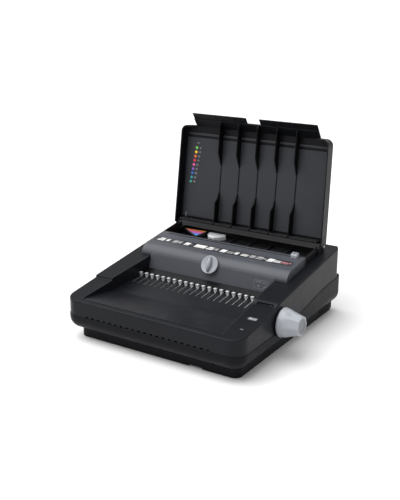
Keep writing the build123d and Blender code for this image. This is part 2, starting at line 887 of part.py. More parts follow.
def make_punch_beam():
    """beam that carries the pins, with a tongue at each end in the side plates' slots"""
    half = beam_height / 2
    beam = box(-side_inner + 1, side_inner - 1, beam_back, beam_front, punch_height - half, punch_height + half)
    beam -= punch_holes(beam_front - pin_seat, beam_front + 1, 0)
    tongue = side_plate_x + side_plate_thick / 2 + 1
    return beam + box(-tongue, tongue, beam_back, beam_front - pin_seat - 1, punch_height - 6, punch_height + 6)


def make_side_plates():
    """two steel plates that hold the punch together"""
    plates = []
    tongue_front = beam_front - pin_seat - 1
    for side in (-1, 1):
        x = side * side_plate_x
        half = side_plate_thick / 2
        plate = box(x - half, x + half, side_plate_front, side_plate_rear, floor_top, 128)
        plate -= rod_x(x - 5, x + 5, shaft_y, punch_height, camshaft_radius + 3)
        plate -= box(x - 5, x + 5, beam_back - 0.3, tongue_front + punch_stroke + 0.5, punch_height - 6.15, punch_height + 6.15)
        if side > 0:
            plate -= rod_x(x - 5, x + 5, shaft_y, motor_height, 8)
        plate += box(min(x, x - side * 12), max(x, x - side * 12), side_plate_front, side_plate_rear, floor_top, floor_top + 2)
        plates.append(plate)
    return Compound(children=plates)


def make_camshaft_bushes():
    """a flanged bush for the camshaft in each side plate"""
    bushes = []
    for side in (-1, 1):
        inner = side * (side_plate_x - side_plate_thick / 2)
        outer = side * (side_plate_x + side_plate_thick / 2)
        bush = rod_x(min(inner, outer), max(inner, outer), shaft_y, punch_height, camshaft_radius + 3)
        flange = inner - side * 1.5
        bush += rod_x(min(inner, flange), max(inner, flange), shaft_y, punch_height, camshaft_radius + 3.8)
        bush -= rod_x(-body_width / 2, body_width / 2, shaft_y, punch_height, camshaft_radius + running_clearance)
        bushes.append(bush)
    return Compound(children=bushes)


def make_camshaft():
    """shaft that carries the two cams and the driven gear"""
    return rod_x(-side_plate_x - 6, gear_x0 + gear_wide + 1, shaft_y, punch_height, camshaft_radius)


def cam_face():
    """cam whose radius grows steadily with the angle and falls back over the rest of the turn"""
    high = cam_low_radius + punch_stroke
    steps = 15
    rise = [(cam_low_radius + (high - cam_low_radius) * i / steps, -cam_angle * i / steps) for i in range(steps + 1)]
    rise.append((high, -cam_angle - 8))
    fall = 360 - cam_angle - 8
    drop = [(high - (high - cam_low_radius) * i / steps, -cam_angle - 8 - fall * i / steps) for i in range(1, steps)]
    corners = [(r * cos(radians(a)), r * sin(radians(a))) for r, a in rise + drop]
    return Polygon(*corners, align=None) - Circle(camshaft_radius)


def make_punch_cams():
    """two cams that push the beam"""
    cams = [gear_x(cam_face(), x - cam_wide / 2, cam_wide, shaft_y, punch_height, 0) for x in (-cam_x, cam_x)]
    return Compound(children=cams)


def make_camshaft_gear():
    """driven gear outside the right side plate"""
    return gear_x(gear_face(gear_module, gear_teeth, camshaft_radius), gear_x0, gear_wide, shaft_y, punch_height, -90)


def make_motor_pinion():
    """motor shaft with its pinion"""
    face = gear_face(gear_module, pinion_teeth)
    pinion = gear_x(face, gear_x0, gear_wide, shaft_y, motor_height, 90 + 180 / pinion_teeth)
    return pinion + rod_x(motor_x0 + 6, gear_x0 + gear_wide + 1, shaft_y, motor_height, motor_shaft_radius)


def make_motor():
    """motor case, screwed to the inside of the right side plate"""
    end = side_inner
    case = rod_x(motor_x0, end, shaft_y, motor_height, motor_radius)
    case = fillet(case.edges().sort_by(Axis.X)[0], 3)
    return case - rod_x(motor_x0 + 5, end + 1, shaft_y, motor_height, motor_shaft_radius + running_clearance)


def make_return_springs():
    """two coil springs that push the beam back"""
    springs = []
    for x in (-spring_x, spring_x):
        height = throat_y - guide_thick + spring_pocket - beam_front - 2 * spring_wire
        path = Helix(pitch=height / spring_turns, height=height, radius=spring_radius - spring_wire)
        profile = Plane(origin=path @ 0, z_dir=path % 0) * Circle(spring_wire)
        coil = sweep(profile, path=path, is_frenet=True)
        springs.append(Pos(x, beam_front + spring_wire, punch_height) * Rot(-90, 0, 0) * coil)
    return Compound(children=springs)


def make_storage_tray():
    """comb storage tray behind the throat, with thin ribs between its compartments"""
    top = sky
    front = strip_rear
    rim = [
        (front, storage_floor),
        (front, strip_height(front)),
        (hinge_y - 14, strip_height(hinge_y - 14)),
        (hinge_y - 8, rear_plane(hinge_y)),
        (storage_rear, rear_plane(storage_rear)),
        (storage_rear, storage_floor),
    ]
    tray = side_slab(rim, -unit_half_width, unit_half_width)
    tray -= box(-unit_half_width + wall, unit_half_width - wall, front + wall, storage_rear - wall, storage_floor + wall, top)
    for x in divider_places():
        half = rib_thick / 2
        floor = storage_floor + wall
        tray += box(x - half, x + half, front + wall, storage_rear - wall, floor, floor + rib_height)
    return tray


def make_hinge_ears():
    """two ears on the rear deck that hold the lid's hinge pins"""
    ears = []
    for side in (-1, 1):
        inner, outer = side * ear_x, side * (ear_x + ear_thick)
        x0, x1 = min(inner, outer), max(inner, outer)
        base_y = 11
        points = [
            (hinge_y - base_y, rear_plane(hinge_y - base_y)),
            (hinge_y + base_y, rear_plane(hinge_y + base_y)),
            (hinge_y + 5, hinge_height),
            (hinge_y - 5, hinge_height),
        ]
        ear = side_slab(points, x0, x1) + rod_x(x0, x1, hinge_y, hinge_height, 6)
        ear -= rod_x(x0 - 1, x1 + 1, hinge_y, hinge_height, hinge_pin_radius)
        ears.append(ear)
    return Compound(children=ears)


def make_hinge_pins():
    """two pins pressed into the ears, on which the lid turns"""
    pins = []
    for side in (-1, 1):
        inner, outer = side * ear_x, side * (lid_half_width + 1.2)
        pins.append(rod_x(min(inner, outer), max(inner, outer), hinge_y, hinge_height, hinge_pin_radius))
    return Compound(children=pins)


def lid_place():
    """the lid's own axes: x along the hinge, y forwards from the lid, z up along it"""
    return Pos(0, hinge_y, hinge_height) * Rot(-lid_lean, 0, 0)


def lid_box(x0, x1, w0, w1, u0, u1):
    """a block in the lid's own axes, w counted forwards and u upwards from the hinge"""
    return box(x0, x1, -w1, -w0, u0, u1)


def lid_face(half_low, half_high, low, high, round_top):
    """front view of the lid: narrower at its top, with rounded upper corners"""
    face = Polygon((-half_low, low), (half_low, low), (half_high, high), (-half_high, high), align=None)
    return fillet(face.vertices().sort_by(Axis.Y)[-2:], round_top)


def lip_slab(start, end, low, high, x0, x1):
    """a slab on the lid's lip, from start to end along its slope and low to high below its back face"""
    along = (-sin(radians(lip_lean)), cos(radians(lip_lean)))
    under = (-along[1], along[0])
    root = lid_set_back + lid_wall
    points = []
    for reach, depth in ((start, low), (end, low), (end, high), (start, high)):
        y = root + along[0] * reach + under[0] * depth
        points.append((y, lid_height + along[1] * reach + under[1] * depth))
    return side_slab(points, x0, x1)


def make_lip(back):
    """lip that leans forwards from the lid's top edge: a stepped plate with a notch and four short ribs"""
    lip = lip_slab(-2, lip_step, 0, lid_wall + 1, -lip_half_width, lip_half_width)
    lip += lip_slab(lip_step - 1, lip_long, 0, lid_wall - 0.9, -lip_half_width, lip_half_width)
    lip -= lip_slab(lip_step, lip_long + 1, -1, lid_wall, -notch_half_width + 2, notch_half_width - 2)
    for x in lip_rib_places():
        half = lip_rib_wide / 2
        lip += lip_slab(lip_step - 1, lip_long - 1, 0.5, lid_wall + 0.6, x - half, x + half)
    root = lid_box(-lip_half_width, lip_half_width, -back, -lid_set_back, lid_height - 12, lid_height)
    return lip + root


def make_lid_shell():
    """lid: back panel with a skirt, side walls round the hinge and a lip that leans forwards"""
    back = lid_set_back + lid_wall
    front = lid_side_depth - lid_set_back
    full = Plane.XZ * lid_face(lid_half_width, lid_top_half_width, 0, lid_height, 14)
    inner_face = lid_face(lid_half_width - lid_wall, lid_top_half_width - lid_wall, -20, lid_height - lid_wall, 12)
    inner = Plane.XZ * inner_face
    outer_block = Pos(0, back, 0) * extrude(full, amount=back + front, dir=(0, -1, 0))
    inner_block = Pos(0, lid_set_back, 0) * extrude(inner, amount=lid_set_back + front + 1, dir=(0, -1, 0))
    shell = outer_block - inner_block
    for side in (-1, 1):
        outer = side * lid_half_width
        inside = side * (lid_half_width - lid_wall)
        x0, x1 = min(outer, inside), max(outer, inside)
        shell += rod_x(x0, x1, 0, 0, 7)
        shell += lid_box(x0, x1, -7, front - 1, 0, 20)
    shell -= lid_box(-lip_half_width, lip_half_width, -lid_set_back, front + 1, lid_height - 8, lid_height + 1)
    shell += lid_box(-skirt_half_width, skirt_half_width, -back, -lid_set_back, -lid_skirt_drop, 3)
    shell += make_lip(back)
    shell -= rod_x(-body_width, body_width, 0, 0, hinge_pin_radius + running_clearance)
    shell -= box(-lid_half_width + lid_wall, lid_half_width - lid_wall, -30, back + 1, -30, 2)
    return lid_place() * shell


def make_lid_dividers():
    """fins at the top and the bottom of the lid, joined by a low rib, that keep the combs apart"""
    dividers = None
    back = lid_set_back
    points = [
        (back, 12), (back, lid_height - 3.3), (back - 15, lid_height + 13), (back - 18, lid_height + 8),
        (back - 18, 168), (back - 3, 140), (back - 1.6, 138), (back - 1.6, 82), (back - 3, 80), (back - 9, 66),
        (back - 18, 58), (back - 18, 14), (back - 15, 12),
    ]
    for x in divider_places():
        fin = side_slab(points, x - divider_thick / 2, x + divider_thick / 2)
        dividers = fin if dividers is None else dividers + fin
    return lid_place() * dividers


def make_lid_ledges():
    """ribbed ledge along the bottom of the lid, in six lengths between the dividers"""
    half = unit_half_width - wall - 1.5
    edges = [-half] + divider_places() + [half]
    back = lid_set_back
    ledges = []
    for i in range(len(edges) - 1):
        x0 = edges[i] + (divider_thick / 2 + 1 if i else 0)
        x1 = edges[i + 1] - (divider_thick / 2 + 1 if i < divider_count else 0)
        ledge = lid_box(x0, x1, -back, 12, 8, 10)
        for j in range(4):
            w = -back + 4 + 4.6 * j
            ledge += lid_box(x0, x1, w, w + 1.4, 10, 11.2)
        ledges.append(ledge)
    return lid_place() * Compound(children=ledges)


def make_edge_guide():
    """sliding stop for the paper's side edge, with a tongue in the throat"""
    y0, y1 = throat_y - 4, throat_rear + 3.5
    rise = 8.0
    base = [(y0, strip_height(y0) + 0.3), (y1, strip_height(y1) + 0.3), (y1, strip_height(y1) + rise - 2),
            (y1 - 2, strip_height(y1) + rise), (y0 + 2, strip_height(y0) + rise), (y0, strip_height(y0) + rise - 2)]
    guide = side_slab(base, guide_x, guide_x + 13)
    tongue_low = plate_high + 2
    return guide + box(guide_x + 0.5, guide_x + 4, throat_y + 0.4, throat_rear - 0.4, tongue_low, strip_height(throat_y) + 3)


def make_chip_drawer():
    """open drawer for the punched chips, its face in the right side of the plinth"""
    x1 = half_plinth
    x0 = x1 - drawer_length
    y0, y1 = drawer_front + drawer_gap, drawer_rear - drawer_gap
    z0, z1 = floor_top + drawer_gap, floor_top + drawer_height
    drawer = box(x0, x1, y0, y1, z0, z1) - box(x0 + 2, x1 - 3, y0 + 2, y1 - 2, z0 + 2, z1 + 1)
    for i in range(7):
        y = y0 + 12 + 8 * i
        drawer -= box(x1 - 1.2, x1 + 1, y, y + 4, z0 + 5, z1 - 1)
    return drawer


def make_chip_chute():
    """sloping sheet that carries the chips from the die to the drawer"""
    y0, y1 = throat_rear + die_thick + 0.2, drawer_front + 14
    z0, z1 = plate_low + 4, floor_top + drawer_height + 2
    points = [(y0, z0), (y1, z1), (y1 - 1.5, z1), (y0, z0 - 2.4)]
    sheet = side_slab(points, -side_inner, side_inner)
    return sheet + box(-side_inner, side_inner, y0, y0 + 1.5, z0 - 8, z0)


def make_punch_button():
    """push button flush with the deck, with a stem down to its switch"""
    place = on_deck(button_x, button_y)
    cap = place * Pos(0, 0, -wall) * extrude(RectangleRounded(button_long, button_wide, button_wide / 2.2), wall + 0.6)
    flange = place * Pos(0, 0, -wall - 1.8 - button_travel + 0.3)
    flange *= extrude(RectangleRounded(button_long + 3, button_wide + 3, 6), 1.4)
    neck = place * Pos(0, 0, -wall - 1.8 - button_travel + 0.3) * extrude(RectangleRounded(button_long - 2, button_wide - 2, 5), 4)
    stem = place * Pos(0, 0, -12) * Cylinder(2.5, 14)
    return cap + flange + neck + stem


def make_micro_switch():
    """switch under the button, on its own post"""
    place = on_deck(button_x, button_y)
    body = place * Pos(0, 0, -19 - button_travel - 0.4 - 5) * Box(20, 7, 10)
    return body


def make_switch_post():
    """post from the tub's floor up to the button's switch"""
    top = front_plane(button_y) - 19 - button_travel - 10
    post = box(button_x - 6, button_x + 1, button_y - 5, button_y + 7, floor_top, top + 4)
    post -= on_deck(button_x, button_y) * Pos(0, 0, -19 - button_travel - 0.4 - 5) * Box(20.2, 30, 10.0)
    return post


def make_led_lens():
    """narrow lens of the ready light"""
    return led_form(0)


def make_margin_rail():
    """two pads that the margin slide runs on"""
    pads = [box(x - 6, x + 6, throat_y - 8, throat_rear + 8, floor_top, slide_low - 0.2) for x in (-60, 60)]
    return Compound(children=pads)


def make_mains_inlet():
    """mains inlet in the rear wall, with three flat pins in a deep socket"""
    y1 = tub_rear + fitting_flange
    w, h = inlet_wide / 2, inlet_tall / 2
    z = rear_fitting_height
    inlet = box(inlet_x - w, inlet_x + w, tub_rear - 24, tub_rear, z - h, z + h)
    inlet += box(inlet_x - w - 2.5, inlet_x + w + 2.5, tub_rear, y1, z - h - 2.5, z + h + 2.5)
    inlet -= box(inlet_x - w + 2, inlet_x + w - 2, tub_rear - 18, y1 + 1, z - h + 2, z + h - 2)
    for dx, dz in ((-7, -2), (7, -2), (0, 3)):
        inlet += box(inlet_x + dx - 1, inlet_x + dx + 1, tub_rear - 19, tub_rear - 3, z + dz - 2, z + dz + 2)
    return inlet


def make_switch_bezel():
    """frame of the mains switch"""
    y1 = tub_rear + fitting_flange
    w, h = switch_wide / 2, switch_tall / 2
    z = rear_fitting_height
    bezel = box(switch_x - w, switch_x + w, tub_rear - 18, tub_rear, z - h, z + h)
    bezel += box(switch_x - w - 2, switch_x + w + 2, tub_rear, y1, z - h - 2, z + h + 2)
    bezel -= box(switch_x - w + 1.5, switch_x + w - 1.5, tub_rear - 15, y1 + 1, z - h + 1.5, z + h - 1.5)
    return bezel + rod_x(switch_x - w + 1, switch_x + w - 1, tub_rear - rocker_depth, z, rocker_pin_radius)


def make_rocker():
    """rocker of the mains switch, on off at rest"""
    w, h = switch_wide / 2 - 1.9, switch_tall / 2 - 2.6
    y = tub_rear - rocker_depth
    z = rear_fitting_height
    throw = tan(radians(rocker_throw))
    points = [(y - 4, z - h + 3), (y + 4.5 + h * throw, z - h), (y + 4.5, z), (y + 4.5 + h * throw, z + h), (y - 4, z + h - 3)]
    rocker = side_slab(points, switch_x - w, switch_x + w) - rod_x(switch_x - w - 1, switch_x + w + 1, y, z, rocker_pin_radius + running_clearance)
    return Pos(0, y, z) * Rot(-rocker_throw, 0, 0) * Pos(0, -y, -z) * rocker


def make_transformer():
    """laminated transformer on the tub's floor"""
    core = box(-152, -96, 30, 82, floor_top, floor_top + 46)
    coil = box(-144, -104, 22, 90, floor_top + 8, floor_top + 38)
    return core + coil


def make_control_board():
    """circuit board with its parts, on four posts"""
    board = box(40, 150, 20, 95, floor_top + 8, floor_top + 9.6)
    for x, y, long, wide, tall in board_parts:
        board += box(x, x + long, y, y + wide, floor_top + 9.6, floor_top + 9.6 + tall)
    for x in (45, 145):
        for y in (25, 90):
            board += rod_z(x, y, floor_top, floor_top + 8, 2.5)
    return board


def make_feet():
    """four rubber feet with plugs in the plinth's floor"""
    feet = []
    for x, y in foot_places():
        foot = rod_z(x, y, 0, foot_height, foot_radius) + rod_z(x, y, 0, floor_top, foot_plug_radius)
        feet.append(foot)
    return Compound(children=feet)


def make_base_screws():
    """screws up through the plinth's floor"""
    screws = []
    for x, y in base_screw_places():
        screw = rod_z(x, y, foot_height - 1.2, foot_height, base_screw_radius + 1.6)
        screw += rod_z(x, y, foot_height - 1.2, floor_top + 8, base_screw_radius)
        screws.append(screw)
    return Compound(children=screws)


def make_screw_bosses():
    """posts on the tub's floor that the base screws bite into"""
    bosses = []
    for x, y in base_screw_places():
        boss = rod_z(x, y, floor_top, seam_front_height - 6, 4.5) - rod_z(x, y, 0, floor_top + 9, base_screw_radius)
        bosses.append(boss)
    return Compound(children=bosses)


def make_plate_screws():
    """cap screws that hold the guide and die plates between the side plates"""
    screws = []
    for side in (-1, 1):
        for y in (throat_y - guide_thick / 2, throat_rear + die_thick / 2):
            x0 = side * (side_plate_x + side_plate_thick / 2)
            x1 = x0 + side * 2.2
            screws.append(rod_x(min(x0, x1), max(x0, x1), y, punch_height + 8, 2.8))
    return Compound(children=screws)


def over_ribs(block):
    """a block with a slot for each rib of the storage tray"""
    for x in divider_places():
        half = rib_thick / 2 + 0.2
        block -= box(x - half, x + half, strip_rear, storage_rear, storage_floor, storage_floor + wall + rib_height + 0.2)
    return block


def make_size_gauge():
    """loose wedge gauge that shows which comb suits a stack of paper"""
    points = [(-172.5, 360), (-108, 365), (-112, 314)]
    return over_ribs(plan_slab(points, storage_floor + wall, storage_floor + wall + gauge_tall))


def make_gauge_holder():
    """clear faceted holder beside the gauge"""
    points = [(-104, 364), (-60, 364), (-56, 355), (-64, 342), (-74, 333), (-92, 338), (-102, 352)]
    holder = plan_slab(points, storage_floor + wall, storage_floor + wall + gauge_tall)
    return over_ribs(chamfer(holder.edges().group_by(Axis.Z)[-1], 2))


nodes = {
    "base_pan": make_base_pan,
    "main_housing": make_main_housing,
    "paper_tray": make_paper_tray,
    "front_panel": make_front_panel,
    "throat_cover": make_throat_cover,
    "storage_tray": make_storage_tray,
    "finger_comb": make_finger_comb,
    "hook_plate": make_hook_plate,
    "opener_racks": make_opener_racks,
    "hook_plate_guides": make_plate_guides,
    "opener_pinions": make_opener_pinions,
    "opener_shaft": make_opener_shaft,
    "opener_posts": make_opener_posts,
    "opener_knob": make_opener_knob,
    "knob_cap": make_knob_cap,
    "margin_dial": make_margin_dial,
    "dial_bush": make_dial_bush,
    "dial_shaft": make_dial_shaft,
    "margin_slide": make_margin_slide,
    "margin_slide_pads": make_margin_rail,
    "depth_stop": make_depth_stop,
    "edge_guide": make_edge_guide,
    "guide_plate": make_guide_plate,
    "die_plate": make_die_plate,
    "plate_screws": make_plate_screws,
    "side_plates": make_side_plates,
    "punch_pins": make_punch_pins,
    "punch_beam": make_punch_beam,
    "camshaft": make_camshaft,
    "camshaft_bushes": make_camshaft_bushes,
    "punch_cams": make_punch_cams,
    "camshaft_gear": make_camshaft_gear,
    "motor": make_motor,
    "motor_pinion": make_motor_pinion,
    "return_springs": make_return_springs,
    "chip_chute": make_chip_chute,
    "chip_drawer": make_chip_drawer,
    "lid_shell": make_lid_shell,
    "lid_dividers": make_lid_dividers,
    "lid_ledges": make_lid_ledges,
    "hinge_ears": make_hinge_ears,
    "hinge_pins": make_hinge_pins,
    "punch_button": make_punch_button,
    "micro_switch": make_micro_switch,
    "switch_post": make_switch_post,
    "ready_light": make_led_lens,
    "transformer": make_transformer,
    "control_board": make_control_board,
    "mains_inlet": make_mains_inlet,
    "mains_switch_frame": make_switch_bezel,
    "mains_rocker": make_rocker,
    "rubber_feet": make_feet,
    "base_screws": make_base_screws,
    "screw_bosses": make_screw_bosses,
    "size_gauge": make_size_gauge,
    "gauge_holder": make_gauge_holder,
}

os.makedirs("parts", exist_ok=True)
for name, make in nodes.items():
    piece = to_origin * make()
    export_step(piece, f"parts/{name}.step")
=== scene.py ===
"""Visual model of a comb binding machine, laid out as an add-on and run as a script."""
from math import atan, cos, hypot, pi, radians, sin

import bmesh
import bpy
from bpy.props import FloatProperty, FloatVectorProperty, IntProperty, PointerProperty
from mathutils import Euler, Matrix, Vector


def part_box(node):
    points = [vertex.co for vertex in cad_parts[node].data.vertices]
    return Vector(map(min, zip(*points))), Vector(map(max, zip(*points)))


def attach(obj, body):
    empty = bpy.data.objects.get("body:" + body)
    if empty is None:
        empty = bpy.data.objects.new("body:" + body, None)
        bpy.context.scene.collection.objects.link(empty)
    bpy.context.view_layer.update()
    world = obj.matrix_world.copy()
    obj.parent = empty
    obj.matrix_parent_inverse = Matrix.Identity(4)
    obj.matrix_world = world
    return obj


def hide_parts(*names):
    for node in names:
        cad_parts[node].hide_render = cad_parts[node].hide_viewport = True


bl_info = {
    "name": "Comb binding machine",
    "version": (1, 0, 0),
    "blender": (4, 5, 0),
    "location": "3D View > Sidebar > Binder",
    "description": "Finishes and fine pieces of a desk-top comb binding machine",
    "category": "Object",
}

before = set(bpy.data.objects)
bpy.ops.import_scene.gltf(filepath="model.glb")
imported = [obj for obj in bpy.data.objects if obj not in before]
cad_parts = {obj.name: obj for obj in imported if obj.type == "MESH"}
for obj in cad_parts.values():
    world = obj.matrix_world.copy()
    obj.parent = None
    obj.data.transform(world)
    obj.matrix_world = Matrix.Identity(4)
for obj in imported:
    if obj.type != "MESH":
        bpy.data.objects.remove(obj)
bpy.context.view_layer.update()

MM = 0.001
PLINTH_REACH = 25.4
cover_low, cover_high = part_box("throat_cover")
knob_low, knob_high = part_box("opener_knob")
MIDDLE_X = (cover_low[0] + cover_high[0]) / 2
FRONT_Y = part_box("base_pan")[0][1] + PLINTH_REACH * MM

# slopes and planes of the machine, in millimetres; a plane is given by its y and z
STRIP_SLOPE = 0.138
STRIP_START = (226.0, 144.0)
DECK_SLOPE = 0.145
DECK_START = (-24.6, 86.3)
PANEL_FOOT = (192.0, 96.0)
SEAM = (201.0, 127.0)
DIAL_TILT = radians(30)
LID_LEAN = radians(6.5)
HINGE = (352.0, 158.0)
LID_INNER = -9.0
BUTTON_PLACE = (181, 57)
INSERT_PLACE = (173, 116)

# heights of the film and the inks above the face they are printed on, in millimetres
FILM_FOOT, LOW, MID, TOP = 0.02, 0.12, 0.18, 0.22
PANEL_INK = (0.01, 0.08)
# places of the inks in the strip's list of finishes
FILM, WHITE, GREY, DARK, PINK = range(5)


def at(x, y, z):
    """a point given in millimetres about the machine's centre plane, in the row frame"""
    return Vector((MIDDLE_X + x * MM, FRONT_Y + y * MM, z * MM))


class Sheet:
    """a flat drawing surface: an origin, two directions on it and its normal"""

    def __init__(self, origin, across, up, size=1.0):
        self.origin = origin
        self.across = across.normalized()
        self.up = up.normalized()
        self.out = self.across.cross(self.up).normalized()
        self.size = size

    def point(self, u, v, height=0.0):
        return self.origin + ((self.across * u + self.up * v) * self.size + self.out * height) * MM

    def spot(self, u, v, size=1.0):
        """a smaller or larger sheet about a place on this one"""
        return Sheet(self.point(u, v), self.across, self.up, size)


def strip_sheet():
    """the strip in front of the throat, v counted from its front edge"""
    lean = atan(STRIP_SLOPE)
    return Sheet(at(0, *STRIP_START), Vector((1, 0, 0)), Vector((0, cos(lean), sin(lean))))


def deck_sheet(x, y):
    """a place on the deck's front slope"""
    lean = atan(DECK_SLOPE)
    z = DECK_START[1] + DECK_SLOPE * (y - DECK_START[0])
    return Sheet(at(x, y, z), Vector((1, 0, 0)), Vector((0, cos(lean), sin(lean))))


def panel_sheet():
    """the sloping panel behind the hooks, v counted from its foot"""
    rise = Vector((0, SEAM[0] - PANEL_FOOT[0], SEAM[1] - PANEL_FOOT[1]))
    return Sheet(at(0, *PANEL_FOOT), Vector((1, 0, 0)), rise)


def lid_sheet(forward=LID_INNER):
    """a plane parallel to the lid, v counted up from the hinge"""
    up = Vector((0, sin(LID_LEAN), cos(LID_LEAN)))
    out = Vector((0, -cos(LID_LEAN), sin(LID_LEAN)))
    return Sheet(at(0, *HINGE) + out * forward * MM, Vector((1, 0, 0)), up)


# ---------------------------------------------------------------- mesh helpers


def new_piece(name, bm, materials, smooth=False):
    """turns a bmesh into a finished object at the origin"""
    mesh = bpy.data.meshes.new(name)
    bm.normal_update()
    bm.to_mesh(mesh)
    bm.free()
    for material in materials:
        mesh.materials.append(material)
    for face in mesh.polygons:
        face.use_smooth = smooth
    piece = bpy.data.objects.new(name, mesh)
    bpy.context.scene.collection.objects.link(piece)
    return piece


def soften(piece, width, segments=2):
    """rounds a piece's edges with a bevel"""
    bevel = piece.modifiers.new("rounding", "BEVEL")
    bevel.width = width * MM
    bevel.segments = segments
    bevel.limit_method = "ANGLE"
    bevel.angle_limit = radians(35)
    return piece


def keep(piece, body):
    """a finished piece rides on its body"""
    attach(piece, body)
    return piece


def add_block(bm, sheet, outline, low, high, material=0):
    """a flat shape on a sheet, from low to high above it; the outline runs anticlockwise"""
    bottom = [bm.verts.new(sheet.point(u, v, low)) for u, v in outline]
    top = [bm.verts.new(sheet.point(u, v, high)) for u, v in outline]
    count = len(outline)
    faces = [bm.faces.new(top), bm.faces.new(bottom[::-1])]
    for i in range(count):
        j = (i + 1) % count
        faces.append(bm.faces.new((bottom[i], bottom[j], top[j], top[i])))
    for face in faces:
        face.material_index = material


def add_rings(bm, rings):
    """a closed skin over rings of points that all have the same count"""
    rows = [[bm.verts.new(point) for point in ring] for ring in rings]
    count = len(rows[0])
    for low, high in zip(rows, rows[1:]):
        for i in range(count):
            j = (i + 1) % count
            bm.faces.new((low[i], low[j], high[j], high[i]))
    bm.faces.new(rows[0][::-1])
    bm.faces.new(rows[-1])


def rect(u, v, wide, tall):
    """a rectangle about its middle"""
    w, h = wide / 2, tall / 2
    return [(u - w, v - h), (u + w, v - h), (u + w, v + h), (u - w, v + h)]


def round_rect(u, v, wide, tall, radius, steps=5):
    """a rectangle with rounded corners"""
    points = []
    w, h = wide / 2 - radius, tall / 2 - radius
    for quarter, (du, dv) in enumerate(((w, -h), (w, h), (-w, h), (-w, -h))):
        for i in range(steps + 1):
            angle = (quarter - 1 + i / steps) * pi / 2
            points.append((u + du + radius * cos(angle), v + dv + radius * sin(angle)))
    return points


def disc(u, v, radius, sides=24):
    """a circle"""
    return [(u + radius * cos(2 * pi * i / sides), v + radius * sin(2 * pi * i / sides)) for i in range(sides)]


def stroke(start, end, wide):
    """a straight line of some width"""
    du, dv = end[0] - start[0], end[1] - start[1]
    length = hypot(du, dv)
    nu, nv = -dv / length * wide / 2, du / length * wide / 2
    return [(start[0] - nu, start[1] - nv), (end[0] - nu, end[1] - nv),
            (end[0] + nu, end[1] + nv), (start[0] + nu, start[1] + nv)]


def add_outline(bm, sheet, outer, inner, low, high):
    """a flat frame between two outlines of the same count of points"""
    count = len(outer)
    rows = []
    for outline, height in ((outer, low), (outer, high), (inner, high), (inner, low)):
        rows.append([bm.verts.new(sheet.point(u, v, height)) for u, v in outline])
    rows.append(rows[0])
    for low_row, high_row in zip(rows, rows[1:]):
        for i in range(count):
            j = (i + 1) % count
            bm.faces.new((low_row[i], low_row[j], high_row[j], high_row[i]))


def add_text(bm, sheet, text, u, v, size, height):
    """flat figures on a sheet"""
    curve = bpy.data.curves.new("figures", "FONT")
    curve.body = text
    curve.size = size
    curve.align_x = "CENTER"
    curve.align_y = "CENTER"
    curve.resolution_u = 2
    holder = bpy.data.objects.new("figures", curve)
    bpy.context.scene.collection.objects.link(holder)
    mesh = bpy.data.meshes.new_from_object(holder)
    bpy.data.objects.remove(holder)
    bpy.data.curves.remove(curve)
    verts = [bm.verts.new(sheet.point(u + p.co.x, v + p.co.y, height)) for p in mesh.vertices]
    for polygon in mesh.polygons:
        face = bm.faces.new([verts[i] for i in polygon.vertices])
        face.normal_update()
        if face.normal.dot(sheet.out) < 0:
            face.normal_flip()
    bpy.data.meshes.remove(mesh)


# ---------------------------------------------------------------- repeating pieces


def row_tree(name):
    """a tree that sets a shape out in a row, with named inputs for its count, its step and its finish"""
    tree = bpy.data.node_groups.new(name, "GeometryNodeTree")
    sockets = {}
    for label, kind in (("Shape", "NodeSocketObject"), ("Count", "NodeSocketInt"), ("Step", "NodeSocketVector"),
                        ("Finish", "NodeSocketMaterial")):
        sockets[label] = tree.interface.new_socket(label, in_out="INPUT", socket_type=kind).identifier
    tree.interface.new_socket("Geometry", in_out="OUTPUT", socket_type="NodeSocketGeometry")
    nodes, links = tree.nodes, tree.links
    start, end = nodes.new("NodeGroupInput"), nodes.new("NodeGroupOutput")
    line = nodes.new("GeometryNodeMeshLine")
    shape = nodes.new("GeometryNodeObjectInfo")
    spread = nodes.new("GeometryNodeInstanceOnPoints")
    real = nodes.new("GeometryNodeRealizeInstances")
    finish = nodes.new("GeometryNodeSetMaterial")
    links.new(start.outputs["Count"], line.inputs["Count"])
    links.new(start.outputs["Step"], line.inputs["Offset"])
    links.new(start.outputs["Shape"], shape.inputs["Object"])
    links.new(line.outputs["Mesh"], spread.inputs["Points"])
    links.new(shape.outputs["Geometry"], spread.inputs["Instance"])
    links.new(spread.outputs["Instances"], real.inputs["Geometry"])
    links.new(real.outputs["Geometry"], finish.inputs["Geometry"])
    links.new(start.outputs["Finish"], finish.inputs["Material"])
    links.new(finish.outputs["Geometry"], end.inputs["Geometry"])
    return tree, sockets


def make_row(name, bm, count, step, material):
    """count copies of a shape, each step on from the last, as one plain mesh"""
    shape = new_piece(name + "_shape", bm, [material])
    holder = bpy.data.objects.new(name + "_row", bpy.data.meshes.new(name + "_row"))
    bpy.context.scene.collection.objects.link(holder)
    tree, sockets = row_tree(name + "_tree")
    modifier = holder.modifiers.new("row", "NODES")
    modifier.node_group = tree
    modifier[sockets["Shape"]] = shape
    modifier[sockets["Count"]] = count
    modifier[sockets["Step"]] = tuple(step)
    modifier[sockets["Finish"]] = material
    graph = bpy.context.evaluated_depsgraph_get()
    mesh = bpy.data.meshes.new_from_object(holder.evaluated_get(graph), depsgraph=graph)
    mesh.name = name
    holder.modifiers.remove(modifier)
    piece = bpy.data.objects.new(name, mesh)
    bpy.context.scene.collection.objects.link(piece)
    for spare in (holder, shape):
        bpy.data.objects.remove(spare)
    bpy.data.node_groups.remove(tree)
    return piece


# ---------------------------------------------------------------- finishes


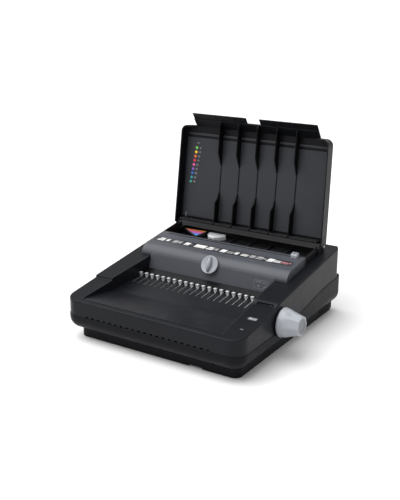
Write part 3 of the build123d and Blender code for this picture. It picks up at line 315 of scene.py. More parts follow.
class Finish:
    """builds one node material"""

    def __init__(self, name):
        self.material = bpy.data.materials.new(name)
        self.material.use_nodes = True
        self.nodes = self.material.node_tree.nodes
        self.links = self.material.node_tree.links
        self.nodes.clear()
        self.shader = self.nodes.new("ShaderNodeBsdfPrincipled")
        out = self.nodes.new("ShaderNodeOutputMaterial")
        self.links.new(self.shader.outputs["BSDF"], out.inputs["Surface"])
        self.place = self.nodes.new("ShaderNodeTexCoord").outputs["Object"]
        self.normal = None

    def noise(self, scale, detail=3.0, stretch=None):
        """soft noise, with so many waves to a metre"""
        source = self.place
        if stretch:
            mapping = self.nodes.new("ShaderNodeMapping")
            mapping.inputs["Scale"].default_value = stretch
            self.links.new(self.place, mapping.inputs["Vector"])
            source = mapping.outputs["Vector"]
        node = self.nodes.new("ShaderNodeTexNoise")
        node.inputs["Scale"].default_value = scale
        node.inputs["Detail"].default_value = detail
        node.inputs["Roughness"].default_value = 0.55
        self.links.new(source, node.inputs["Vector"])
        return node.outputs["Fac"]

    def span(self, value, low, high, start=0.3, end=0.7):
        """a value between start and end, spread out from low to high"""
        node = self.nodes.new("ShaderNodeMapRange")
        node.inputs["From Min"].default_value = start
        node.inputs["From Max"].default_value = end
        node.inputs["To Min"].default_value = low
        node.inputs["To Max"].default_value = high
        self.links.new(value, node.inputs["Value"])
        return node.outputs["Result"]

    def mix(self, factor, first, second):
        """a colour between two colours or sockets"""
        node = self.nodes.new("ShaderNodeMix")
        node.data_type = "RGBA"
        self.links.new(factor, node.inputs["Factor"])
        for socket, colour in ((node.inputs[6], first), (node.inputs[7], second)):
            if isinstance(colour, bpy.types.NodeSocket):
                self.links.new(colour, socket)
            else:
                socket.default_value = (*colour, 1)
        return node.outputs[2]

    def edges(self, radius):
        """a mask that is 1 on sharp edges; the shader's normal is rounded there too"""
        bevel = self.nodes.new("ShaderNodeBevel")
        bevel.samples = 6
        bevel.inputs["Radius"].default_value = radius * MM
        geometry = self.nodes.new("ShaderNodeNewGeometry")
        dot = self.nodes.new("ShaderNodeVectorMath")
        dot.operation = "DOT_PRODUCT"
        self.links.new(bevel.outputs["Normal"], dot.inputs[0])
        self.links.new(geometry.outputs["Normal"], dot.inputs[1])
        self.normal = bevel.outputs["Normal"]
        return self.span(dot.outputs["Value"], 1.0, 0.0, 0.86, 0.995)

    def bump(self, height, distance, strength):
        """lifts the surface by a height, distance millimetres at most"""
        node = self.nodes.new("ShaderNodeBump")
        node.inputs["Strength"].default_value = strength
        node.inputs["Distance"].default_value = distance * MM
        self.links.new(height, node.inputs["Height"])
        if self.normal:
            self.links.new(self.normal, node.inputs["Normal"])
        self.links.new(node.outputs["Normal"], self.shader.inputs["Normal"])
        self.normal = node.outputs["Normal"]

    def colour(self, socket):
        """joins a socket to the shader's colour"""
        self.links.new(socket, self.shader.inputs["Base Color"])

    def rough(self, socket):
        """joins a socket to the shader's roughness"""
        self.links.new(socket, self.shader.inputs["Roughness"])

    def set(self, **values):
        """sets plain values of the shader, with _ for a space in their names"""
        for key, value in values.items():
            self.shader.inputs[key.replace("_", " ")].default_value = value


def shade(colour, factor):
    """a colour made lighter or darker"""
    return tuple(min(1.0, max(0.0, part * factor)) for part in colour)


def moulded(name, colour, rough=0.42, grain=1500.0, depth=0.012, edge=0.5, specular=0.3, edge_highlight=6.0):
    """moulded plastic: a fine spark-eroded grain, slight clouding and a painted highlight that lightens the edges"""
    made = Finish(name)
    cloud = made.noise(9.0, 4.0)
    fine = made.noise(grain, 2.0)
    edge_mask = made.edges(edge)
    base = made.mix(made.span(cloud, 0.0, 1.0), shade(colour, 0.9), shade(colour, 1.1))
    speckled = made.mix(made.span(fine, 0.0, 0.35, 0.45, 0.75), base, shade(colour, 1.35))
    # painted highlight: sharp edges are mixed towards a lighter copy of the colour
    made.colour(made.mix(made.span(edge_mask, 0.0, 0.55, 0.1, 1.0), speckled, shade(colour, edge_highlight)))
    made.rough(made.span(made.noise(35.0, 3.0), rough - 0.035, rough + 0.045))
    made.bump(fine, depth, 0.55)
    made.set(Specular_IOR_Level=specular)
    return made.material


def gloss(name, colour, rough=0.22, coat=0.25):
    """smooth moulding with a faint ripple"""
    made = Finish(name)
    cloud = made.noise(30.0, 3.0)
    made.edges(0.35)
    made.colour(made.mix(made.span(cloud, 0.0, 1.0), shade(colour, 0.95), shade(colour, 1.05)))
    made.rough(made.span(made.noise(160.0, 2.0), rough - 0.03, rough + 0.05))
    made.bump(made.noise(700.0, 2.0), 0.006, 0.4)
    made.set(Coat_Weight=coat, Coat_Roughness=0.15)
    return made.material


def metal(name, colour, rough=0.32, stretch=(18.0, 1.0, 1.0), metallic=1.0):
    """ground or drawn metal with fine lines"""
    made = Finish(name)
    lines = made.noise(420.0, 3.0, stretch)
    made.edges(0.25)
    made.colour(made.mix(made.span(lines, 0.0, 1.0), shade(colour, 0.82), shade(colour, 1.1)))
    made.rough(made.span(lines, rough - 0.06, rough + 0.1))
    made.bump(lines, 0.006, 0.35)
    made.set(Metallic=metallic)
    return made.material


def ink(name, colour, rough=0.45):
    """printed ink with a slightly uneven coat"""
    made = Finish(name)
    film = made.noise(900.0, 2.0)
    made.colour(made.mix(made.span(film, 0.0, 1.0), shade(colour, 0.9), shade(colour, 1.06)))
    made.rough(made.span(film, rough - 0.05, rough + 0.05))
    made.bump(film, 0.003, 0.3)
    return made.material


def banded(name, direction, start, end, colours, hard=True):
    """ink whose colour changes along a direction, between two distances in metres from the origin"""
    made = Finish(name)
    dot = made.nodes.new("ShaderNodeVectorMath")
    dot.operation = "DOT_PRODUCT"
    dot.inputs[1].default_value = direction
    made.links.new(made.place, dot.inputs[0])
    ramp = made.nodes.new("ShaderNodeValToRGB")
    ramp.color_ramp.interpolation = "CONSTANT" if hard else "LINEAR"
    made.links.new(made.span(dot.outputs["Value"], 0.0, 1.0, start, end), ramp.inputs["Fac"])
    steps = ramp.color_ramp.elements
    count = len(colours)
    while len(steps) < count:
        steps.new(0.5)
    for i, colour in enumerate(colours):
        steps[i].position = i / count if hard else i / (count - 1)
        steps[i].color = (*colour, 1)
    film = made.noise(800.0, 2.0)
    made.colour(made.mix(made.span(film, 0.0, 0.12), ramp.outputs["Color"], (0.02, 0.02, 0.02)))
    made.rough(made.span(film, 0.31, 0.41))
    return made.material


def clear(name):
    """clear moulding, frosted at its edges"""
    made = Finish(name)
    cloud = made.noise(60.0, 3.0)
    edge_mask = made.edges(0.6)
    made.colour(made.mix(edge_mask, (0.86, 0.88, 0.9), (0.95, 0.96, 0.97)))
    made.rough(made.span(cloud, 0.12, 0.28))
    made.bump(made.noise(500.0, 2.0), 0.01, 0.4)
    made.set(Transmission_Weight=0.35, IOR=1.49, Coat_Weight=0.3)
    return made.material


finishes = {}


def finish(name):
    """a finish made on first use from the add-on's settings"""
    if name not in finishes:
        finishes[name] = make_finish(name)
    return finishes[name]


def make_finish(name):
    """makes one finish by its short name"""
    look = bpy.context.scene.binder_look
    charcoal, panel, black = tuple(look.charcoal), tuple(look.panel_grey), tuple(look.inner_black)
    grain = look.grain_scale
    # the edge factor of each moulded finish sets how strongly its painted edge highlight lightens the edges
    makers = {
        "charcoal": lambda: moulded("charcoal plastic", charcoal, 0.36, grain, edge=0.6, specular=0.13, edge_highlight=12.0),
        "tub": lambda: moulded("tub plastic", shade(charcoal, 0.62), 0.42, grain, specular=0.09),
        "tray": lambda: moulded("tray plastic", shade(charcoal, 1.1), 0.33, grain, specular=0.22, edge_highlight=14.0),
        "panel": lambda: moulded("grey panel plastic", panel, 0.44, grain),
        "band": lambda: moulded("grey band plastic", shade(panel, 1.05), 0.4, grain),
        "lid": lambda: moulded("lid plastic", shade(charcoal, 0.5), 0.4, grain, edge=0.6, specular=0.16, edge_highlight=16.0),
        "black": lambda: moulded("inner black plastic", black, 0.33, grain),
        "fin": lambda: moulded("divider plastic", shade(black, 0.5), 0.5, grain, specular=0.12, edge_highlight=14.0),
        "inner panel": lambda: moulded("lid inner panel", shade(panel, 0.42), 0.4, grain),
        "silver": lambda: moulded("silver grey plastic", tuple(look.silver), 0.34, grain, 0.008, 0.5, 0.5, 1.2),
        "button": lambda: moulded("button plastic", shade(charcoal, 1.5), 0.3, grain),
        "rocker": lambda: gloss("rocker plastic", (0.02, 0.02, 0.022)),
        "light": lambda: gloss("ready light lens", (0.12, 0.15, 0.13), 0.2, 0.3),
        "knob ring": lambda: moulded("knob cap plastic", shade(tuple(look.silver), 0.55), 0.4, grain, edge_highlight=1.6),
        "board": lambda: gloss("board lacquer", (0.02, 0.13, 0.05), 0.3),
        "hooks": lambda: metal("bright nickel", (0.86, 0.87, 0.88), 0.4, metallic=0.45),
        "steel": lambda: metal("ground steel", (0.56, 0.57, 0.59), 0.34),
        "zinc": lambda: metal("zinc plate", (0.6, 0.6, 0.58), 0.38, (3.0, 3.0, 1.0)),
        "brass": lambda: metal("turned brass", (0.72, 0.52, 0.22), 0.3),
        "motor": lambda: moulded("motor paint", (0.05, 0.05, 0.055), 0.45, grain, 0.01),
        "rubber": lambda: moulded("foot rubber", (0.018, 0.018, 0.018), 0.75, 900.0, 0.03, 0.4, 0.25, 1.3),
        "film": lambda: ink("label film", (0.028, 0.029, 0.034), 0.35),
        "white ink": lambda: ink("white ink", (0.78, 0.78, 0.77)),
        "grey ink": lambda: ink("grey ink", (0.34, 0.34, 0.35)),
        "dark ink": lambda: ink("dark ink", (0.05, 0.05, 0.055)),
        "pink ink": lambda: ink("pink ink", (0.55, 0.22, 0.24)),
        "soft ink": lambda: ink("soft grey ink", (0.2, 0.205, 0.215)),
        "clear": lambda: clear("clear moulding"),
        "dots": lambda: banded(
            "colour dots", tuple(lid_sheet().up), *dot_span(),
            [(0.02, 0.42, 0.33), (0.01, 0.35, 0.42), (0.02, 0.14, 0.62), (0.25, 0.1, 0.62), (0.85, 0.12, 0.38),
             (0.75, 0.02, 0.04), (0.9, 0.16, 0.02), (0.92, 0.6, 0.02), (0.16, 0.6, 0.08)]),
        "rainbow": lambda: banded(
            "size colours", (0.0, 1.0, 0.0), at(0, 320, 0).y, at(0, 362, 0).y,
            [(0.1, 0.55, 0.8), (0.04, 0.25, 0.75), (0.22, 0.12, 0.55), (0.6, 0.06, 0.3), (0.85, 0.12, 0.04),
             (0.9, 0.5, 0.04)], False),
    }
    return makers[name]()


# ---------------------------------------------------------------- settings


class BinderLook(bpy.types.PropertyGroup):
    """colours and grain of the machine"""

    charcoal: FloatVectorProperty(name="Charcoal", description="Colour of the housing", subtype="COLOR", size=3,
                                  min=0, max=1, default=(0.0075, 0.008, 0.0105))
    panel_grey: FloatVectorProperty(name="Panel grey", description="Colour of the panel and the band behind the hooks",
                                    subtype="COLOR", size=3, min=0, max=1, default=(0.062, 0.066, 0.078))
    inner_black: FloatVectorProperty(name="Inner black", description="Colour of the storage tray and the inner parts",
                                     subtype="COLOR", size=3, min=0, max=1, default=(0.0035, 0.0036, 0.0045))
    silver: FloatVectorProperty(name="Silver grey", description="Colour of the knob and the dial", subtype="COLOR",
                                size=3, min=0, max=1, default=(0.3, 0.315, 0.345))
    grain_scale: FloatProperty(name="Grain scale", description="How fine the moulded grain is, in grains per metre",
                               default=1500.0, min=100, max=5000)


class BinderPrint(bpy.types.PropertyGroup):
    """the colour dots and the edge guide's ridges"""

    dot_count: IntProperty(name="Colour dots", description="How many colour dots stand beside the lid's numbers",
                           default=9, min=2, max=20)
    dot_radius: FloatProperty(name="Dot radius", description="Radius of a colour dot", subtype="DISTANCE",
                              unit="LENGTH", default=0.0031, min=0.001, max=0.01)
    ridge_count: IntProperty(name="Guide ridges", description="Grip ridges on top of the edge guide", default=4,
                             min=1, max=8)


class BinderKnob(bpy.types.PropertyGroup):
    """shape of the opener knob and the dial"""

    facets: IntProperty(name="Facets", description="Flats round the opener knob", default=8, min=3, max=16)
    facet_start: FloatProperty(name="Facet start", description="Share of the knob's length where its flats begin",
                               subtype="FACTOR", default=0.32, min=0, max=1)
    grip_width: FloatProperty(name="Grip width", description="Width of the dial's grip at its middle",
                              subtype="DISTANCE", unit="LENGTH", default=0.0115, min=0.002, max=0.02)


class BinderStage(bpy.types.PropertyGroup):
    """floor, light and camera"""

    floor_size: FloatProperty(name="Floor size", description="Side of the square floor", subtype="DISTANCE",
                              unit="LENGTH", default=160.0, min=2, max=400)
    key_power: FloatProperty(name="Key light", description="Power of the large soft lights", subtype="POWER",
                             default=9.0, min=0, max=500)
    sun_strength: FloatProperty(name="Sky light", description="Strength of the broad light from above", default=3.0,
                                min=0, max=20)
    world_strength: FloatProperty(name="World", description="Strength of the white surroundings", default=0.5, min=0,
                                  max=2)
    lens: FloatProperty(name="Lens", description="Focal length of the camera in millimetres", default=59.27, min=10,
                        max=200)


# ---------------------------------------------------------------- CAD pieces' finishes

PLASTIC_NODES = {
    "main_housing": "charcoal", "base_pan": "tub", "paper_tray": "tray", "front_panel": "panel",
    "throat_cover": "band", "storage_tray": "black", "finger_comb": "black", "margin_slide": "black",
    "margin_slide_pads": "black", "depth_stop": "black", "edge_guide": "silver", "chip_chute": "black",
    "chip_drawer": "tub", "lid_shell": "lid", "lid_dividers": "fin", "lid_ledges": "black", "hinge_ears": "charcoal",
    "punch_button": "button", "micro_switch": "black", "switch_post": "black", "ready_light": "light",
    "control_board": "board", "mains_inlet": "black", "mains_switch_frame": "black", "mains_rocker": "rocker",
    "rubber_feet": "rubber", "screw_bosses": "black", "size_gauge": "black", "gauge_holder": "clear",
    "opener_posts": "black", "hook_plate_guides": "black", "opener_racks": "black", "transformer": "motor",
    "motor": "motor", "opener_knob": "silver", "knob_cap": "silver", "margin_dial": "silver",
}
METAL_NODES = {
    "hook_plate": "hooks", "opener_pinions": "steel", "opener_shaft": "steel", "dial_bush": "brass",
    "dial_shaft": "steel", "guide_plate": "steel", "die_plate": "steel", "plate_screws": "zinc",
    "side_plates": "zinc", "punch_pins": "steel", "punch_beam": "zinc", "camshaft": "steel",
    "camshaft_bushes": "brass", "punch_cams": "steel", "camshaft_gear": "steel", "motor_pinion": "steel",
    "return_springs": "steel", "hinge_pins": "steel", "base_screws": "zinc",
}


def dress(table):
    """gives each CAD node in the table its finish"""
    for node, name in table.items():
        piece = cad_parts[node]
        if not piece.material_slots:
            piece.data.materials.append(None)
        for material_slot in piece.material_slots:
            material_slot.link = "OBJECT"
            material_slot.material = finish(name)


class BinderOperator:
    """what every operator here shares"""

    bl_options = {"REGISTER", "UNDO"}

    def execute(self, context):
        self.build(context.scene)
        return {"FINISHED"}


class BINDER_OT_plastic_finishes(BinderOperator, bpy.types.Operator):
    """Dress the moulded parts in textured plastic"""

    bl_idname = "binder.plastic_finishes"
    bl_label = "Plastic finishes"

    def build(self, scene):
        dress(PLASTIC_NODES)


class BINDER_OT_metal_finishes(BinderOperator, bpy.types.Operator):
    """Dress the steel and brass parts"""

    bl_idname = "binder.metal_finishes"
    bl_label = "Metal finishes"

    def build(self, scene):
        dress(METAL_NODES)


# ---------------------------------------------------------------- knob and dial


KNOB_Y = (knob_low[1] + knob_high[1]) / 2
KNOB_Z = (knob_low[2] + knob_high[2]) / 2
KNOB_SIDES = 96
KNOB_STEPS = 20
KNOB_FOOT_RADIUS = 30.0
KNOB_END_RADIUS = 20.5
FOOT_ROUND = 5.0
FACET_RUN = 0.22
# rings of the knob's end: how far each lies behind the end face, how far inside the rim, and its facets' depth
KNOB_END_RINGS = (
    (0.9, 0.6, 1), (0.3, 1.4, 1), (0, 2.6, 0.6), (0.1, 3.6, 0), (1.1, 4.1, 0), (1.1, 5.4, 0), (0.5, 6.0, 0),
    (0.5, 9.0, 0), (1.0, 9.5, 0), (1.0, 16.0, 0),
)


def knob_ring(x, radius, facets, amount):
    """a ring of the knob at x, flattened into facets by amount; x and the radius are in metres"""
    points = []
    for i in range(KNOB_SIDES):
        angle = 2 * pi * i / KNOB_SIDES
        part = angle % (2 * pi / facets) - pi / facets
        flat = cos(pi / facets) / cos(part)
        r = radius * (1 + amount * (flat - 1))
        points.append(Vector((x, KNOB_Y + r * cos(angle), KNOB_Z + r * sin(angle))))
    return points


class BINDER_OT_opener_knob(BinderOperator, bpy.types.Operator):
    """Add the faceted opener knob with its ringed cap"""

    bl_idname = "binder.opener_knob"
    bl_label = "Opener knob"

    def build(self, scene):
        look = scene.binder_knob
        x0, x1 = knob_low[0], knob_high[0]
        big, small = KNOB_FOOT_RADIUS * MM, KNOB_END_RADIUS * MM
        curve = FOOT_ROUND * MM
        length = x1 - x0
        rings = [knob_ring(x0, big - curve - 1.5 * MM, look.facets, 0)]
        for degree in (0, 22, 45, 67, 90):
            x = x0 + curve * (1 - cos(radians(degree)))
            rings.append(knob_ring(x, big - curve - 1 * MM + curve * sin(radians(degree)), look.facets, 0))
        for i in range(1, KNOB_STEPS + 1):
            share = i / KNOB_STEPS
            x = x0 + curve + (length - curve - 2 * MM) * share
            along = (x - x0) / length
            radius = big - 1 * MM + (small - big) * along + 1.6 * MM * sin(pi * along) * (1 - share)
            amount = min(1.0, max(0.0, (along - look.facet_start) / FACET_RUN))
            rings.append(knob_ring(x, radius, look.facets, amount))
        rim = small - 0.6 * MM
        for back, inside, amount in KNOB_END_RINGS:
            rings.append(knob_ring(x1 - back * MM, rim - inside * MM, look.facets, amount))
        bm = bmesh.new()
        add_rings(bm, rings)
        knob = new_piece("opener_knob_faceted", bm, [finish("silver"), finish("knob ring")], smooth=True)
        for face in knob.data.polygons:
            radius = hypot(face.center.y - KNOB_Y, face.center.z - KNOB_Z)
            if face.center.x > x1 - 1.3 * MM and (radius < rim - 5.6 * MM or len(face.vertices) > 4):
                face.material_index = 1
        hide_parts("opener_knob", "knob_cap")
        keep(knob, "opener")


def dial_sheet():
    """a plane square to the dial's axis, through the seam"""
    up = Vector((0, sin(DIAL_TILT), cos(DIAL_TILT)))
    return Sheet(at(0, *SEAM), Vector((1, 0, 0)), up)


# half of the dial's outline: height above the panel and radius
DIAL_PROFILE = (
    (1.5, 17.9), (1.9, 19.0), (2.7, 19.45), (4.4, 19.45), (5.1, 19.1), (5.45, 18.3), (5.2, 17.2), (4.9, 16.0),
    (4.9, 3.0),
)
GRIP_HALF_LONG = 16.8
GRIP_FOOT, GRIP_TALL = 5.0, 8.4
GRIP_STEPS = 24


class BINDER_OT_margin_dial(BinderOperator, bpy.types.Operator):
    """Add the margin dial with its leaf-shaped grip"""

    bl_idname = "binder.margin_dial"
    bl_label = "Margin dial"

    def build(self, scene):
        bm = bmesh.new()
        sheet = dial_sheet()
        rings = []
        for height, radius in DIAL_PROFILE:
            rings.append([sheet.point(u, v, height) for u, v in disc(0, 0, radius, 72)])
        add_rings(bm, rings)
        half_wide = scene.binder_knob.grip_width / MM / 2
        rows = []
        for i in range(GRIP_STEPS + 1):
            v = -GRIP_HALF_LONG + 2 * GRIP_HALF_LONG * i / GRIP_STEPS
            share = max(0.0, 1 - (v / GRIP_HALF_LONG) ** 2)
            wide = 0.35 + half_wide * share
            tall = GRIP_FOOT + GRIP_TALL * share ** 0.35
            shoulder = GRIP_FOOT + (tall - GRIP_FOOT) * 0.62
            side, crown = wide * 0.82, wide * 0.42
            section = [(-wide, GRIP_FOOT - 0.2), (wide, GRIP_FOOT - 0.2), (side, shoulder), (crown, tall - 0.25),
                       (0.0, tall), (-crown, tall - 0.25), (-side, shoulder)]
            rows.append([sheet.point(u, v, height) for u, height in section])
        add_rings(bm, [row[::-1] for row in rows])
        bmesh.ops.recalc_face_normals(bm, faces=bm.faces)
        dial = new_piece("margin_dial_fine", bm, [finish("silver")], smooth=True)
        for face in dial.data.polygons:
            if len(face.vertices) > 4:
                face.use_smooth = False
        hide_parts("margin_dial")
        keep(dial, "dial")


# ---------------------------------------------------------------- prints


def page(bm, spot, ink_index):
    """a leaning page with a row of punched squares along its foot"""
    w, h, lean = 4.5, 4.6, 1.6
    add_block(bm, spot, [(-w, -h), (w, -h), (w + lean, h), (lean - w, h)], LOW, MID, ink_index)
    for i in range(4):
        add_block(bm, spot, rect(-w * 0.66 + i * w * 0.44, -h * 0.62, w * 0.2, h * 0.3), MID, TOP, DARK)


def arrow(bm, spot, ink_index):
    """a small arrow"""
    add_block(bm, spot, [(-3.5, -0.5), (0.7, -0.5), (0.7, 0.5), (-3.5, 0.5)], LOW, MID, ink_index)
    add_block(bm, spot, [(0.7, -1.7), (3.6, 0.0), (0.7, 1.7)], LOW, MID, ink_index)


def small_machine(bm, spot, ink_index):
    """a machine in outline: body, lid and slot"""
    add_block(bm, spot, [(-6.5, -4.4), (5.0, -4.4), (7.0, 0.2), (-4.5, 0.2)], LOW, MID, ink_index)
    add_block(bm, spot, [(-4.2, 0.8), (7.2, 0.8), (6.4, 5.0), (-3.6, 5.0)], LOW, MID, GREY)
    add_block(bm, spot, rect(0.2, -1.9, 8.0, 0.9), MID, TOP, DARK)
    add_block(bm, spot, [(-2.5, 1.6), (3.5, 1.6), (4.0, 4.2), (-2.0, 4.2)], MID, TOP, ink_index)


def comb_rings(bm, spot, ink_index):
    """a plastic comb seen from its side"""
    add_block(bm, spot, rect(0, -3.0, 12.4, 1.6), LOW, MID, ink_index)
    for i in range(6):
        add_block(bm, spot, stroke((-5.2 + 2.1 * i, -2.4), (-4.4 + 2.1 * i, 3.6), 1.1), LOW, MID, ink_index)


def hand(bm, spot, ink_index):
    """a hand that holds a sheet"""
    add_block(bm, spot, round_rect(0, -1.2, 6.4, 5.0, 1.8), LOW, MID, ink_index)
    for i in range(4):
        add_block(bm, spot, stroke((-2.4 + 1.6 * i, 0.8), (-1.4 + 1.7 * i, 4.8), 1.15), LOW, MID, ink_index)


# each picture's drawing, its place along the strip, its ink and its size
STRIP_PICTURES = (
    (small_machine, -153, WHITE, 1.45), (hand, -136, WHITE, 1.2), (page, -117, GREY, 1.35), (hand, -104, GREY, 1.25),
    (page, -87, WHITE, 1.35), (arrow, -76, GREY, 1.2), (page, -60, WHITE, 1.5), (page, -47, WHITE, 1.5),
    (small_machine, -28, WHITE, 1.4), (hand, -12, GREY, 1.2), (page, 4, WHITE, 1.4), (comb_rings, 22, GREY, 1.25),
    (hand, 37, WHITE, 1.3), (comb_rings, 56, WHITE, 1.3), (page, 74, GREY, 1.3), (small_machine, 91, GREY, 1.3),
    (arrow, 103, WHITE, 1.2), (page, 116, WHITE, 1.5), (comb_rings, 132, WHITE, 1.2),
)
CROSSED_OUT = (((-7, -3.6), (0, 3.6)), ((-7, 3.6), (0, -3.6)), ((1, -3.4), (7, 3.2)), ((-7.4, 0), (7.6, 0)))
CROSSED_PLACE = 152
STRIP_MIDDLE = 19.0


class BINDER_OT_instruction_strip(BinderOperator, bpy.types.Operator):
    """Print the strip of pictograms in front of the throat"""

    bl_idname = "binder.instruction_strip"
    bl_label = "Instruction strip"

    def build(self, scene):
        bm = bmesh.new()
        sheet = strip_sheet()
        add_block(bm, sheet, round_rect(-2, STRIP_MIDDLE, 336, 20, 2.0), FILM_FOOT, LOW, FILM)
        for draw, u, ink_index, size in STRIP_PICTURES:
            draw(bm, sheet.spot(u, STRIP_MIDDLE, size), ink_index)
        crossed = sheet.spot(CROSSED_PLACE, STRIP_MIDDLE, 1.4)
        for start, end in CROSSED_OUT:
            add_block(bm, crossed, stroke(start, end, 1.2), LOW, MID, PINK)
        inks = [finish(name) for name in ("film", "white ink", "grey ink", "dark ink", "pink ink")]
        keep(new_piece("instruction_strip", bm, inks), "chassis")


# strokes of the panel's pictogram about its middle
PANEL_STROKES = (
    ((-12, 4), (-9, 6)), ((-9, 6), (-6, 4)), ((-6, 4), (-3, 6)), ((-3, 6), (0, 4)), ((6, -5), (12, -1)),
    ((7, -6.4), (13, -2.4)),
)


class BINDER_OT_panel_label(BinderOperator, bpy.types.Operator):
    """Print the framed pictogram at the right end of the sloping panel"""

    bl_idname = "binder.panel_label"
    bl_label = "Panel pictogram"

    def build(self, scene):
        bm = bmesh.new()
        sheet = panel_sheet().spot(122.0, 14.5)
        add_outline(bm, sheet, round_rect(0, 0, 32, 17, 1.5), round_rect(0, 0, 31, 16, 1.0), 0.01, 0.07)
        for start, end in PANEL_STROKES:
            add_block(bm, sheet, stroke(start, end, 0.9), *PANEL_INK)
        add_block(bm, sheet, disc(-5, -3.5, 1.7, 16), *PANEL_INK)
        add_block(bm, sheet, rect(7.5, 4.2, 9, 0.8), *PANEL_INK)
        keep(new_piece("panel_pictogram", bm, [finish("soft ink")]), "chassis")


class BINDER_OT_button_icon(BinderOperator, bpy.types.Operator):
    """Print the pictogram on the punch button"""

    bl_idname = "binder.button_icon"
    bl_label = "Button pictogram"

    def build(self, scene):
        bm = bmesh.new()
        sheet = deck_sheet(*BUTTON_PLACE)
        top = 0.62
        pages = (top, top + 0.05, 0)
        marks = (top + 0.05, top + 0.09, 1)
        add_block(bm, sheet, [(-8.5, -3.2), (0.5, -4.2), (0.5, 3.0), (-7.5, 3.8)], *pages)
        add_block(bm, sheet, [(1.3, -4.1), (9.0, -2.6), (8.2, 3.9), (1.3, 3.0)], *pages)
        for i in range(5):
            add_block(bm, sheet, rect(-6.6 + 1.5 * i, -1.6, 0.8, 1.4), *marks)
        add_block(bm, sheet, stroke((2.4, 0.2), (7.4, 0.9), 0.7), *marks)
        add_block(bm, sheet, stroke((2.4, -1.6), (7.6, -0.8), 0.7), *marks)
        icon = new_piece("button_pictogram", bm, [finish("grey ink"), finish("dark ink")])
        keep(icon, "punch_button")


# ---------------------------------------------------------------- lid

# the first and the last dot's places on the lid, and the comb sizes beside the dots in millimetres
DOT_START = (-159.7, 94.6)
DOT_END = (-148.1, 172.1)
NUMBERS = ("50", "45", "38", "32", "25", "19", "14", "10", "6")
NUMBER_GAP = 9.5
LID_INK = 0.1


def dot_span():
    """how far the first and the last dot's bands reach along the lid"""
    sheet = lid_sheet()
    count = bpy.context.scene.binder_print.dot_count
    pitch = (DOT_END[1] - DOT_START[1]) / (count - 1)
    low = sheet.point(0, DOT_START[1] - pitch / 2).dot(sheet.up)
    high = sheet.point(0, DOT_END[1] + pitch / 2).dot(sheet.up)
    return low, high


class BINDER_OT_lid_scale(BinderOperator, bpy.types.Operator):
    """Print the colour dots and their numbers inside the lid"""

    bl_idname = "binder.lid_scale"
    bl_label = "Lid scale"

    def build(self, scene):
        sheet = lid_sheet(LID_INNER + 0.85)
        look = scene.binder_print
        count = look.dot_count
        bm = bmesh.new()
        add_block(bm, sheet, disc(*DOT_START, look.dot_radius / MM), 0.0, LID_INK)
        step_u = (DOT_END[0] - DOT_START[0]) / (count - 1)
        step_v = (DOT_END[1] - DOT_START[1]) / (count - 1)
        step = (sheet.across * step_u + sheet.up * step_v) * MM
        keep(make_row("lid_colour_dots", bm, count, step, finish("dots")), "lid")
        bm = bmesh.new()
        for i, number in enumerate(NUMBERS[:count]):
            u = DOT_START[0] + step_u * i + NUMBER_GAP
            add_text(bm, sheet, number, u, DOT_START[1] + step_v * i, 6.2, LID_INK)
        add_text(bm, sheet, "mm", DOT_END[0] + 3, DOT_END[1] + 11, 5.0, LID_INK)
        add_block(bm, sheet, rect(-167.6, 17, 1.3, 11), 0.0, LID_INK)
        keep(new_piece("lid_numbers", bm, [finish("grey ink")]), "lid")


class BINDER_OT_lid_trim(BinderOperator, bpy.types.Operator):
    """Add the raised panel and the bead inside the lid"""

    bl_idname = "binder.lid_trim"
    bl_label = "Lid trim"

    def build(self, scene):
        sheet = lid_sheet(LID_INNER)
        bm = bmesh.new()
        add_block(bm, sheet, [(-177.5, 14), (177.5, 14), (173.4, 195), (-173.4, 195)], -0.3, 0.8)
        panel = soften(new_piece("lid_inner_panel", bm, [finish("inner panel")]), 0.45)
        keep(panel, "lid")
        bm = bmesh.new()
        add_block(bm, sheet, rect(0, 203.4, 342, 5.0), -0.3, 1.8)
        keep(soften(new_piece("lid_top_bead", bm, [finish("inner panel")]), 1.2, 3), "lid")


# ---------------------------------------------------------------- small fittings


class BINDER_OT_gauge_print(BinderOperator, bpy.types.Operator):
    """Print the colour triangle on the loose size gauge"""

    bl_idname = "binder.gauge_print"
    bl_label = "Size gauge print"

    def build(self, scene):
        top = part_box("size_gauge")[1][2] / MM
        sheet = Sheet(at(0, 0, top), Vector((1, 0, 0)), Vector((0, 1, 0)))
        bm = bmesh.new()
        add_block(bm, sheet, [(-114.0, 322.0), (-111.5, 361.3), (-163.5, 357.6)], 0.0, 0.12)
        keep(new_piece("gauge_colours", bm, [finish("rainbow")]), "chassis")


class BINDER_OT_guide_ridges(BinderOperator, bpy.types.Operator):
    """Add grip ridges to the edge guide"""

    bl_idname = "binder.guide_ridges"
    bl_label = "Edge guide ridges"

    def build(self, scene):
        low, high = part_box("edge_guide")
        top = high[2] / MM - 1.0
        count = scene.binder_print.ridge_count
        x = (low[0] - MIDDLE_X) / MM + 2.6
        y = (low[1] + high[1]) / 2
        sheet = Sheet(Vector((MIDDLE_X, y, top * MM)), Vector((1, 0, 0)), Vector((0, 1, STRIP_SLOPE)))
        bm = bmesh.new()
        add_block(bm, sheet, rect(x, 0, 1.1, 7.5), 0.0, 1.2)
        pitch = 8.0 / max(1, count - 1)
        row = make_row("edge_guide_ridges", bm, count, Vector((pitch * MM, 0, 0)), finish("silver"))
        keep(row, "edge_guide")


class BINDER_OT_deck_insert(BinderOperator, bpy.types.Operator):
    """Add the insert in the deck's groove beside the tray, with a flat dark disc painted as the shade of its small
    hole
    """

    bl_idname = "binder.deck_insert"
    bl_label = "Deck insert"

    def build(self, scene):
        bm = bmesh.new()
        sheet = deck_sheet(*INSERT_PLACE)
        add_block(bm, sheet, rect(0, 0, 37, 8.4), -2.6, -0.9, 0)
        # painted shade: a thin dark disc on the insert's top stands where its small hole looks dark
        add_block(bm, sheet, disc(14.5, 0, 2.1, 20), -0.9, -0.86, 1)
        insert = new_piece("deck_insert", bm, [finish("tray"), finish("dark ink")])
        keep(insert, "chassis")


# ---------------------------------------------------------------- stage


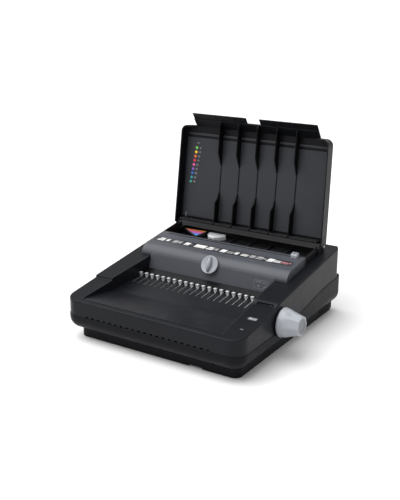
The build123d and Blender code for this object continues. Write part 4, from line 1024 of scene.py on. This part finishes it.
# each lamp's name, place, size and share of the key light's power
LAMPS = (
    ("key", (-0.9, -0.9, 2.1), 1.6, 1.0),
    ("fill", (1.9, -1.2, 1.3), 1.4, 0.35),
    ("back", (0.2, 1.9, 1.7), 1.8, 0.9),
)
LAMPS_AIM = Vector((0, 0, 0.12))
CAMERA_PLACE = (852.2, -1164.0, 683.3)
CAMERA_TURN = (71.98, 0, 32.74)
FLOOR_THICK = 12.0


def hang(scene, name, data, place, turn):
    """puts a lamp or the camera in the scene"""
    holder = bpy.data.objects.new(name, data)
    holder.location = place
    holder.rotation_euler = turn
    scene.collection.objects.link(holder)
    return holder


class BINDER_OT_stage(BinderOperator, bpy.types.Operator):
    """Set the floor, the lights and the camera"""

    bl_idname = "binder.stage"
    bl_label = "Stage"

    def build(self, scene):
        look = scene.binder_stage
        side = look.floor_size / MM
        bm = bmesh.new()
        sheet = Sheet(Vector((0, 0, 0)), Vector((1, 0, 0)), Vector((0, 1, 0)))
        add_block(bm, sheet, rect(0, 0, side, side), -FLOOR_THICK, 0.0)
        floor_finish = Finish("pale floor")
        cloud = floor_finish.noise(0.8, 2.0)
        floor_finish.colour(floor_finish.mix(floor_finish.span(cloud, 0, 1), (0.86, 0.86, 0.86), (0.9, 0.9, 0.9)))
        floor_finish.set(Roughness=0.9, Specular_IOR_Level=0.1)
        new_piece("floor", bm, [floor_finish.material])
        world = bpy.data.worlds.new("studio")
        world.use_nodes = True
        world.node_tree.nodes["Background"].inputs["Color"].default_value = (1.0, 1.0, 1.0, 1)
        world.node_tree.nodes["Background"].inputs["Strength"].default_value = look.world_strength
        scene.world = world
        for name, place, size, share in LAMPS:
            lamp = bpy.data.lights.new(name, "AREA")
            lamp.energy = look.key_power * share
            lamp.size = size
            hang(scene, name, lamp, place, (LAMPS_AIM - Vector(place)).to_track_quat("-Z", "Y").to_euler())
        sun = bpy.data.lights.new("sky", "SUN")
        sun.energy = look.sun_strength
        sun.angle = radians(70)
        hang(scene, "sky", sun, (0, 0, 0), Euler((radians(14), radians(-20), 0)))
        camera = bpy.data.cameras.new("camera")
        camera.sensor_width = 36.0
        camera.lens = look.lens
        turn = Euler([radians(degrees) for degrees in CAMERA_TURN])
        scene.camera = hang(scene, "camera", camera, at(*CAMERA_PLACE), turn)
        scene.view_settings.view_transform = "Standard"


class BINDER_PT_panel(bpy.types.Panel):
    """Lists the machine's settings and its operators"""

    bl_idname = "BINDER_PT_panel"
    bl_label = "Comb binding machine"
    bl_space_type = "VIEW_3D"
    bl_region_type = "UI"
    bl_category = "Binder"

    def draw(self, context):
        layout = self.layout
        for name, group in SETTINGS:
            settings = getattr(context.scene, name)
            for field in group.__annotations__:
                layout.prop(settings, field)
        for operator in OPERATORS:
            layout.operator(operator.bl_idname)


SETTINGS = (
    ("binder_look", BinderLook),
    ("binder_print", BinderPrint),
    ("binder_knob", BinderKnob),
    ("binder_stage", BinderStage),
)
OPERATORS = (
    BINDER_OT_plastic_finishes,
    BINDER_OT_metal_finishes,
    BINDER_OT_opener_knob,
    BINDER_OT_margin_dial,
    BINDER_OT_instruction_strip,
    BINDER_OT_panel_label,
    BINDER_OT_button_icon,
    BINDER_OT_lid_scale,
    BINDER_OT_lid_trim,
    BINDER_OT_gauge_print,
    BINDER_OT_guide_ridges,
    BINDER_OT_deck_insert,
    BINDER_OT_stage,
)


def register():
    for name, group in SETTINGS:
        bpy.utils.register_class(group)
        setattr(bpy.types.Scene, name, PointerProperty(type=group))
    for operator in OPERATORS:
        bpy.utils.register_class(operator)
    bpy.utils.register_class(BINDER_PT_panel)


def unregister():
    bpy.utils.unregister_class(BINDER_PT_panel)
    for operator in reversed(OPERATORS):
        bpy.utils.unregister_class(operator)
    for name, group in reversed(SETTINGS):
        delattr(bpy.types.Scene, name)
        bpy.utils.unregister_class(group)


def main():
    register()
    for operator in OPERATORS:
        group, name = operator.bl_idname.split(".")
        getattr(getattr(bpy.ops, group), name)()


if __name__ == "__main__":
    main()
